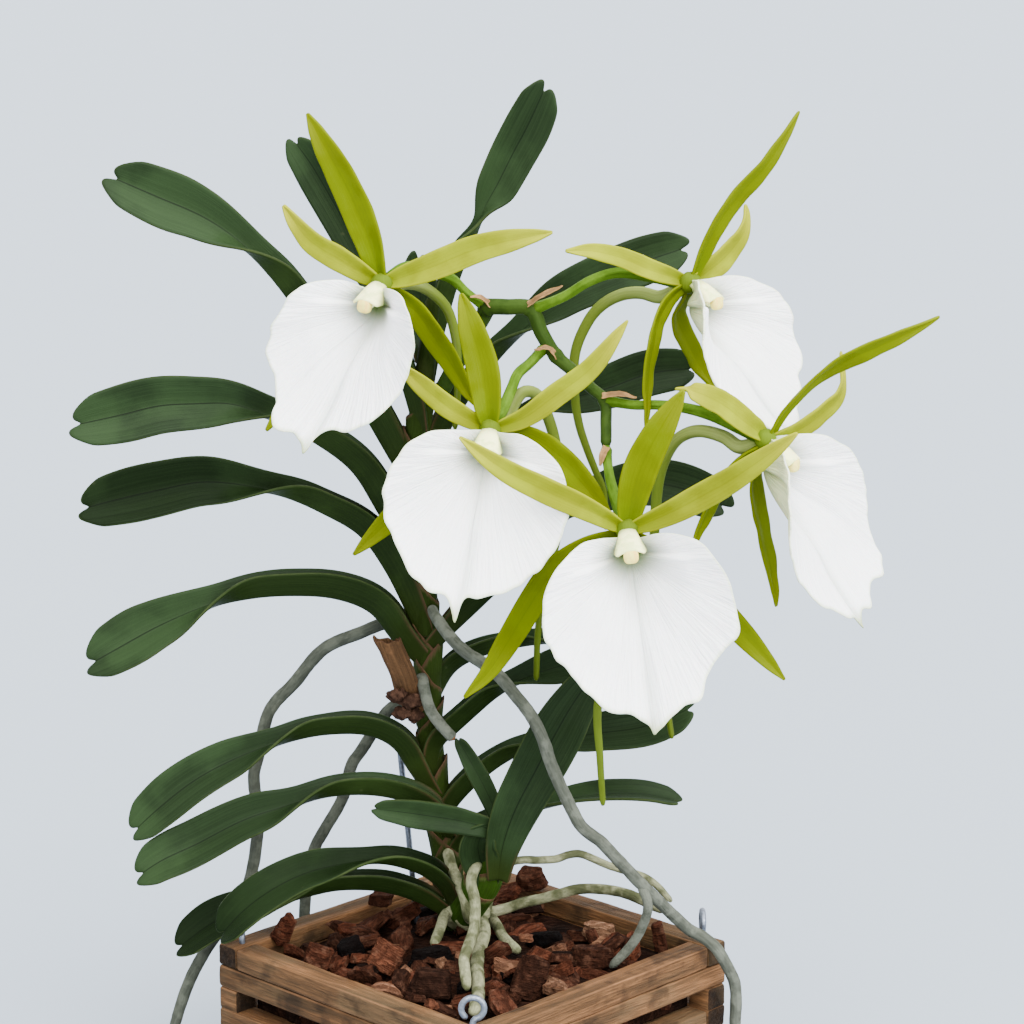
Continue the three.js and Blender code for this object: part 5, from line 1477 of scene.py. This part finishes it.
def lipEdge(flower, frame):  # the rim as a closed line, from the top by the column round past the tip
    if "rimLeft" in flower:
        left = [rimPoint(pixel, -1, flower, frame) for pixel in flower["rimLeft"]]
        right = [rimPoint(pixel, 1, flower, frame) for pixel in flower["rimRight"]]
    else:
        left = [Vector((-across, down, 0)) for across, down in lipOutline]
        right = []
        for across, down in reversed(lipOutline[:-1]):
            wider = 1 + flower["bulge"] * math.exp(-(((down - 1.25) / 0.3) ** 2))
            right.append(Vector((across * wider, down, 0)))
    return Route(left + right, closed=True), left[-1].y


def lipPiece(name, flower, frame, seed):
    half = lip["halfWidth"] * flower["size"]
    edge, tipDown = lipEdge(flower, frame)

    def place(u, v):
        angle = 2 * math.pi * u
        crinkled = 1 + lip["crinkle"] * v**6 * grit(math.cos(angle) * 6, math.sin(angle) * 6, seed + 2)
        rim = edge.at(u) * v * crinkled
        lift = lipLift(rim.x, rim.y, v)
        lift += lip["wave"] * v**3 * grit(math.cos(angle) * 3.5, math.sin(angle) * 3.5, seed)
        lift += 0.4 * lip["wave"] * v * grit(rim.x * 3, rim.y * 3, seed + 5)
        bent = 3 * grit(rim.x * 2, rim.y * 2, seed)
        lift += lip["pleatDepth"] * v**2 * math.sin(lip["pleats"] * angle + bent)
        lift -= lip["crease"] * creaseAt(u, v)
        return inFrame(frame, rim.x * half, -lip["below"] * flower["size"] - rim.y * half, lift)

    def creaseAt(u, v):
        rim = edge.at(u) * v
        return math.exp(-((rim.x / 0.07) ** 2)) * smooth(rim.y, 0.35, 1.2)

    def throatAt(u, v):
        rim = edge.at(u) * v
        deep = 1 - smooth(math.hypot(rim.x, rim.y + 0.05), *lip["throat"])
        streak = 0.55 * math.exp(-((rim.x / 0.13) ** 2)) * (1 - smooth(rim.y, 0.1, 0.85))
        return max(deep, streak)

    def tailAt(u, v):
        return smooth((edge.at(u) * v).y, tipDown - 0.24, tipDown - 0.04)

    marks = {"throat": throatAt, "crease": creaseAt, "tail": tailAt}
    piece = weld(gridPiece(name, *lip["cells"], place, lipFace, lipBack, lipFace, marks=marks))
    turnedAway = sum(polygon.normal.dot(frame[3]) * polygon.area for polygon in piece.data.polygons) < 0
    if turnedAway:
        piece.data.flip_normals()
    return thicken(piece, lip["thickness"])


def columnPieces(name, frame):
    _, right, up, out = frame
    route = Route([inFrame(frame, *place) for place in column["length"]])
    ribbon = Ribbon(route, lambda share, tangent: up + out, 40)
    core = tubePiece(name + "_column", route, column["radius"], columnCream, 20, 24)

    def place(u, v):
        s = 2 * u - 1
        angle = math.radians(column["wingTurn"]) * s
        radius = column["wing"](v)
        tooth = column["tooth"] * math.exp(-(((abs(s) - 0.55) / 0.25) ** 2))
        ahead = (tooth - column["cutBack"] * smooth(abs(s), 0.6, 1)) * v**2
        return ribbon.at(v, -radius * math.sin(angle), column["flatness"] * radius * math.cos(angle), ahead)

    def greenAt(u, v):
        return max(0.8 * smooth(abs(2 * u - 1), 0.45, 0.95), 0.75 * (1 - smooth(v, 0.0, 0.5)))

    hood = gridPiece(name + "_hood", 24, 12, place, columnCream, marks={"green": greenAt})
    turn = Matrix((right, out, up)).transposed()
    capMiddle = inFrame(frame, *column["capPlace"])
    cap = ballPiece(name + "_cap", capMiddle, column["capRadii"], capCream, 0.06, turn, boxy=0.72)
    return [core, thicken(hood, column["thickness"]), cap]


def tepalPiece(name, kind, width, places, faceAt, seed):
    face = petalFace if "petal" in kind else sepalFace if kind == "dorsal" else lateralFace
    route = routeThrough(places)
    return bladePiece(
        name, Ribbon(route, faceAt), route.length, lambda share: width * millimetre * tepal["outline"](share),
        tepal["fold"], (face, face, face), cells=tepal["cells"], thickness=tepal["thickness"],
        soft=tepal["soft"], ripple=tepal["ripple"], seed=seed, recurve=tepal["recurve"],
    )


def makeFlower(number, flower):
    frame = flowerFrame(flower)
    out = frame[3]
    name, node = f"flower_{number}", f"flower_{number}_tepals"
    faceAt = lambda share, tangent: upwards if abs(out.dot(tangent)) > 0.95 else out
    for order, (kind, (width, places)) in enumerate(flower["tepals"].items()):
        piece = tepalPiece(f"{name}_{kind}", kind, width, places, faceAt, number * 7.3 + order * 2.1)
        settle(piece, "tepal", node)
    for piece in columnPieces(name, frame):
        settle(piece, "tepal", node)
    knob = ballPiece(name + "_knob", frame[0], [knobRadius] * 3, knobSkin, lumps=0.12, seed=number)
    settle(knob, "tepal", node)
    groove = lambda angle, share: 1 - spur["groove"] * math.exp(-((math.sin(angle / 2 - 0.6) / 0.25) ** 2))
    route = routeThrough(flower["spur"])
    tail = tubePiece(name + "_spur", route, spur["radius"], spurSkin, 18, 110, lump=groove)
    settle(tail, "tepal", node)
    settle(lipPiece(name + "_lip_sheet", flower, frame, number * 3.1), "lip", f"flower_{number}_lip")


for number, flower in enumerate(flowers):
    makeFlower(number + 1, flower)
print("flowers made")


# The bark: a bed in dark tones, which are painted shade in the gaps between the chips, chips of many
# shapes on it and in the gaps of the basket, and the chips that show in the picture, each with a place,
# a size in millimetres, turns in degrees and a tone
bed = {"top": 0.066, "mound": 0.004, "lump": 0.0035, "edge": 0.93, "cells": 44, "gapShadeTones": (0.1, 0.4)}
chips = {
    "seed": 11,
    "shapes": 8,
    "loose": 150,
    "looseSize": ((0.014, 0.029), (0.008, 0.014), (0.003, 0.0068)),
    "looseTilt": (22, 24),
    "looseHeight": (0.066, 0.0745),
    "margin": 0.006,
    "clear": 0.0075,
    "sunk": 0.005,
    "layer": 0.001,
    "layerStep": 0.0008,
    "roughness": 0.0005,
    "gapLevels": (1, 3, 5),
    "perGap": 15,
    "gapMargin": 0.004,
    "gapDepth": (0.001, 0.004),
    "gapRise": (-0.003, 0.003),
    "gapSize": ((0.006, 0.01), (0.009, 0.015), (0.006, 0.010)),
    "gapTilt": (25, 15, 20),
    "toneSpread": (-0.04, 0.04),
    "tones": [0.06, 0.22, 0.34, 0.44, 0.5, 0.56, 0.62, 0.7, 0.8, 0.92],
}
namedChips = [
    ((284, 930), 78, (10, 8, 15), (14, 22, 20), 0.72),
    ((318, 957), 75, (15, 9, 13), (-12, 14, -25), 0.6),
    ((351, 951), 75, (15, 10, 13), (8, -14, 30), 0.05),
    ((386, 960), 75, (17, 9, 16), (-16, 30, -12), 0.82),
    ((432, 957), 74, (22, 10, 8), (6, -4, 8), 0.08),
    ((432, 985), 75, (21, 12, 15), (-18, 8, 12), 0.28),
    ((405, 926), 76, (8, 6, 8), (20, -30, 50), 0.5),
    ((352, 930), 75, (28, 6, 5), (4, 16, -4), 0.46),
    ((360, 942), 74, (22, 6, 5), (-6, -12, 10), 0.52),
    ((380, 899), 78, (15, 8, 6), (10, 8, 24), 0.5),
    ((600, 930), 76, (18, 9, 7), (10, 6, -6), 1.0),
    ((526, 938), 75, (8, 6, 4), (0, 10, 30), 0.86),
    ((532, 979), 75, (18, 10, 20), (-14, 20, 16), 0.36),
    ((531, 880), 80, (17, 10, 11), (12, -10, 8), 0.55),
    ((660, 938), 77, (7, 5, 16), (6, -12, -20), 0.6),
    ((590, 956), 74, (24, 12, 10), (-8, 4, -8), 0.42),
]


def chipShape(name, dice):  # a slab between two jagged outlines, about two units across
    clearSelection()
    bpy.ops.mesh.primitive_circle_add(vertices=14, radius=1)
    shape = bpy.context.object
    shape.name = name
    for i, vertex in enumerate(shape.data.vertices):
        angle = 2 * math.pi * (i // 2 + dice.uniform(-0.35, 0.35)) / 7
        high = 1 if i % 2 else -1
        reach = dice.uniform(0.72, 1.05) * (0.86 if high > 0 else 1)
        vertex.co = (reach * math.cos(angle), reach * math.sin(angle), high * dice.uniform(0.55, 1.0))
    only(shape)
    bpy.ops.object.mode_set(mode="EDIT")
    bpy.ops.mesh.select_all(action="SELECT")
    bpy.ops.mesh.convex_hull()
    bpy.ops.object.mode_set(mode="OBJECT")
    modify(shape, "BEVEL", width=0.09, segments=1)
    return shape


def chipFrom(shape, middle, size, turns, tone):
    piece = shape.copy()
    piece.data = shape.data.copy()
    piece.name = "chip"
    bpy.context.scene.collection.objects.link(piece)
    half = Vector(size) / 2
    for vertex in piece.data.vertices:
        vertex.co = Vector((vertex.co.x * half.x, vertex.co.y * half.y, vertex.co.z * half.z))
    shift = Vector((tone * 0.37, tone * 0.91, tone * 0.53))
    store(piece, "grain", [c for vertex in piece.data.vertices for c in vertex.co + shift], "FLOAT_VECTOR")
    store(piece, "tone", [tone] * len(piece.data.vertices))
    aboutX, aboutY, aboutZ = (Matrix.Rotation(turn, 4, axis) for turn, axis in zip(turns, "XYZ"))
    piece.data.transform(Matrix.Translation(middle) @ (aboutZ @ aboutY @ aboutX))
    dress(piece, chipBark)
    return piece


def roughen(piece, levels):  # broken layers along each chip's own grain
    modify(piece, "SUBSURF", subdivision_type="SIMPLE", levels=levels, render_levels=levels)
    grain = piece.data.attributes["grain"].data
    shifts = []
    for vertex in piece.data.vertices:
        local = Vector(grain[vertex.index].vector)
        layer = math.floor(local.z / chips["layer"] + 1.5 * grit(*(local * 130)))
        step = chips["layerStep"] * grit(layer * 3.7, *(local.xy * 70))
        step += chips["roughness"] * grit(*(local * 420))
        shifts.append(vertex.normal * step)
    for vertex, shift in zip(piece.data.vertices, shifts):
        vertex.co += shift
    return piece


def makeBed(inner, corner):
    rim = bed["edge"]

    def place(u, v):
        x, y = 2 * u - 1, 2 * v - 1
        edge = max(abs(x), abs(y))
        x, y = (max(min(c, rim), -rim) / rim for c in (x, y))
        spot = corner @ Vector((x * inner, y * inner, 0))
        if edge > rim:  # the outer cells turn down to the basket's floor
            drop = smooth(edge, rim, 1.0)
            return spot + upwards * (bed["top"] * (1 - drop) + (courseHeight + 0.0005) * drop)
        mound = bed["mound"] * (1 - x * x) * (1 - y * y)
        lump = bed["lump"] * grit(spot.x * 90, spot.y * 90, 1.0) * (1 - max(abs(x), abs(y)) ** 6)
        return spot + upwards * (bed["top"] + mound + lump)

    piece = weld(gridPiece("bark_bed", bed["cells"], bed["cells"], place, chipBark))
    store(piece, "grain", placesOf(piece), "FLOAT_VECTOR")
    # The bed's dark tones are painted shade in the gaps between the chips.
    low, high = bed["gapShadeTones"]
    shares = [0.5 + 0.5 * grit(*(vertex.co * 110)) for vertex in piece.data.vertices]
    store(piece, "tone", [low + (high - low) * share for share in shares])
    settle(piece, "bark", "bark_fill")


def looseChips(dice, shapes, inner, corner):
    lying = roots["basal_roots"] + roots["shoot_stem"]
    keepClear = [seen(*place) for _, _, places in lying for place in places]
    keepClear += [seen(*stem["places"][0]), seen(*rods["stake"][-1])]
    loose = []
    for _ in range(chips["loose"]):
        x, y = (dice.uniform(-1, 1) * (inner - chips["margin"]) for _ in range(2))
        spot = corner @ Vector((x, y, 0))
        size = [dice.uniform(*limits) for limits in chips["looseSize"]]
        tilts = [math.radians(dice.gauss(0, spread)) for spread in chips["looseTilt"]]
        turns = [*tilts, dice.uniform(0, 2 * math.pi)]
        nearest = min((clear.xy - spot.xy).length for clear in keepClear)
        spot.z = dice.uniform(*chips["looseHeight"]) - (chips["sunk"] if nearest < chips["clear"] else 0)
        tone = dice.choice(chips["tones"]) + dice.uniform(*chips["toneSpread"])
        loose.append(chipFrom(dice.choice(shapes), spot, size, turns, tone))
    return loose


def shownChips(shapes):
    shown = []
    for number, (pixel, height, size, turns, tone) in enumerate(namedChips):
        turns = [math.radians(degrees) for degrees in turns]
        size = [length * millimetre for length in size]
        spot = seenAtHeight(*pixel, height * millimetre)
        shown.append(chipFrom(shapes[number % len(shapes)], spot, size, turns, tone))
    return shown


def gapChips(dice, shapes, inner):  # the chips that show between the slats
    between = []
    for degrees in basket["turns"]:
        turn = math.radians(degrees)
        for level in chips["gapLevels"]:
            for i in range(chips["perGap"]):
                across = 2 * (i + dice.uniform(0.2, 0.8)) / chips["perGap"] - 1
                depth, rise = dice.uniform(*chips["gapDepth"]), dice.uniform(*chips["gapRise"])
                height = (level + 0.5) * courseHeight + rise
                spot = Vector((inner - depth, across * (inner - chips["gapMargin"]), height))
                spot.rotate(Quaternion((0, 0, 1), turn))
                size = [dice.uniform(*limits) for limits in chips["gapSize"]]
                x, y, z = (math.radians(dice.gauss(0, spread)) for spread in chips["gapTilt"])
                shape, tone = dice.choice(shapes), dice.choice(chips["tones"])
                between.append(chipFrom(shape, spot, size, [x, y, turn + z], tone))
    return between


def makeBark():
    dice = random.Random(chips["seed"])
    inner = basket["side"] / 2 - basket["slatWidth"] - basket["seam"]
    corner = Matrix.Rotation(math.pi / 4, 4, "Z")
    makeBed(inner, corner)
    shapes = [chipShape(f"chip_shape_{i}", dice) for i in range(chips["shapes"])]
    loose = roughen(joinPieces("bark_chips_loose", looseChips(dice, shapes, inner, corner)), 1)
    settle(loose, "bark", "bark_fill", angle=30)
    shown = roughen(joinPieces("bark_chips_shown", shownChips(shapes)), 2)
    settle(shown, "bark", "bark_fill", angle=38)
    between = joinPieces("bark_chips_between", gapChips(dice, shapes, inner))
    settle(between, "bark", "bark_fill", angle=30)
    for shape in shapes:
        bpy.data.objects.remove(shape, do_unlink=True)


makeBark()
print("bark made")


# The floor and the light
studio = {
    "floorSize": 80,
    "floorShade": (212, 216, 220),
    "floorCloud": (204, 208, 212),
    "worldColour": (0.97, 0.99, 1.0),
    "worldStrength": 2.5,
    "sunPower": 13.0,
    "sunSpread": 90,
    "sunTurn": (42, 0, 34),  # degrees, from straight down
}


def makeStudio():
    clearSelection()
    bpy.ops.mesh.primitive_plane_add(size=studio["floorSize"])
    floor = bpy.context.object
    floor.name = "floor"
    material, tree, surface = newMaterial("floorPaper", Roughness=0.9, Specular_IOR_Level=0.1)
    place = addNode(tree, "TexCoord").outputs["Object"]
    cloud = addNode(tree, "TexNoise", {"Vector": place, "Scale": 3.0}).outputs["Fac"]
    colour = painted(tree, shade(*studio["floorShade"]), shade(*studio["floorCloud"]), cloud, 0.06)
    tree.links.new(colour, surface.inputs["Base Color"])
    dress(floor, material)
    light = bpy.data.lights.new("softLight", "SUN")
    light.energy, light.angle = studio["sunPower"], math.radians(studio["sunSpread"])
    lamp = bpy.data.objects.new("softLight", light)
    lamp.location = (-1, -1, 2)
    lamp.rotation_euler = [math.radians(degrees) for degrees in studio["sunTurn"]]
    bpy.context.scene.collection.objects.link(lamp)
    world = bpy.data.worlds.new("studio")
    bpy.context.scene.world = world
    world.use_nodes = True
    sky = world.node_tree.nodes["Background"]
    sky.inputs["Color"].default_value = (*studio["worldColour"], 1)
    sky.inputs["Strength"].default_value = studio["worldStrength"]


makeStudio()
print("scene finished")
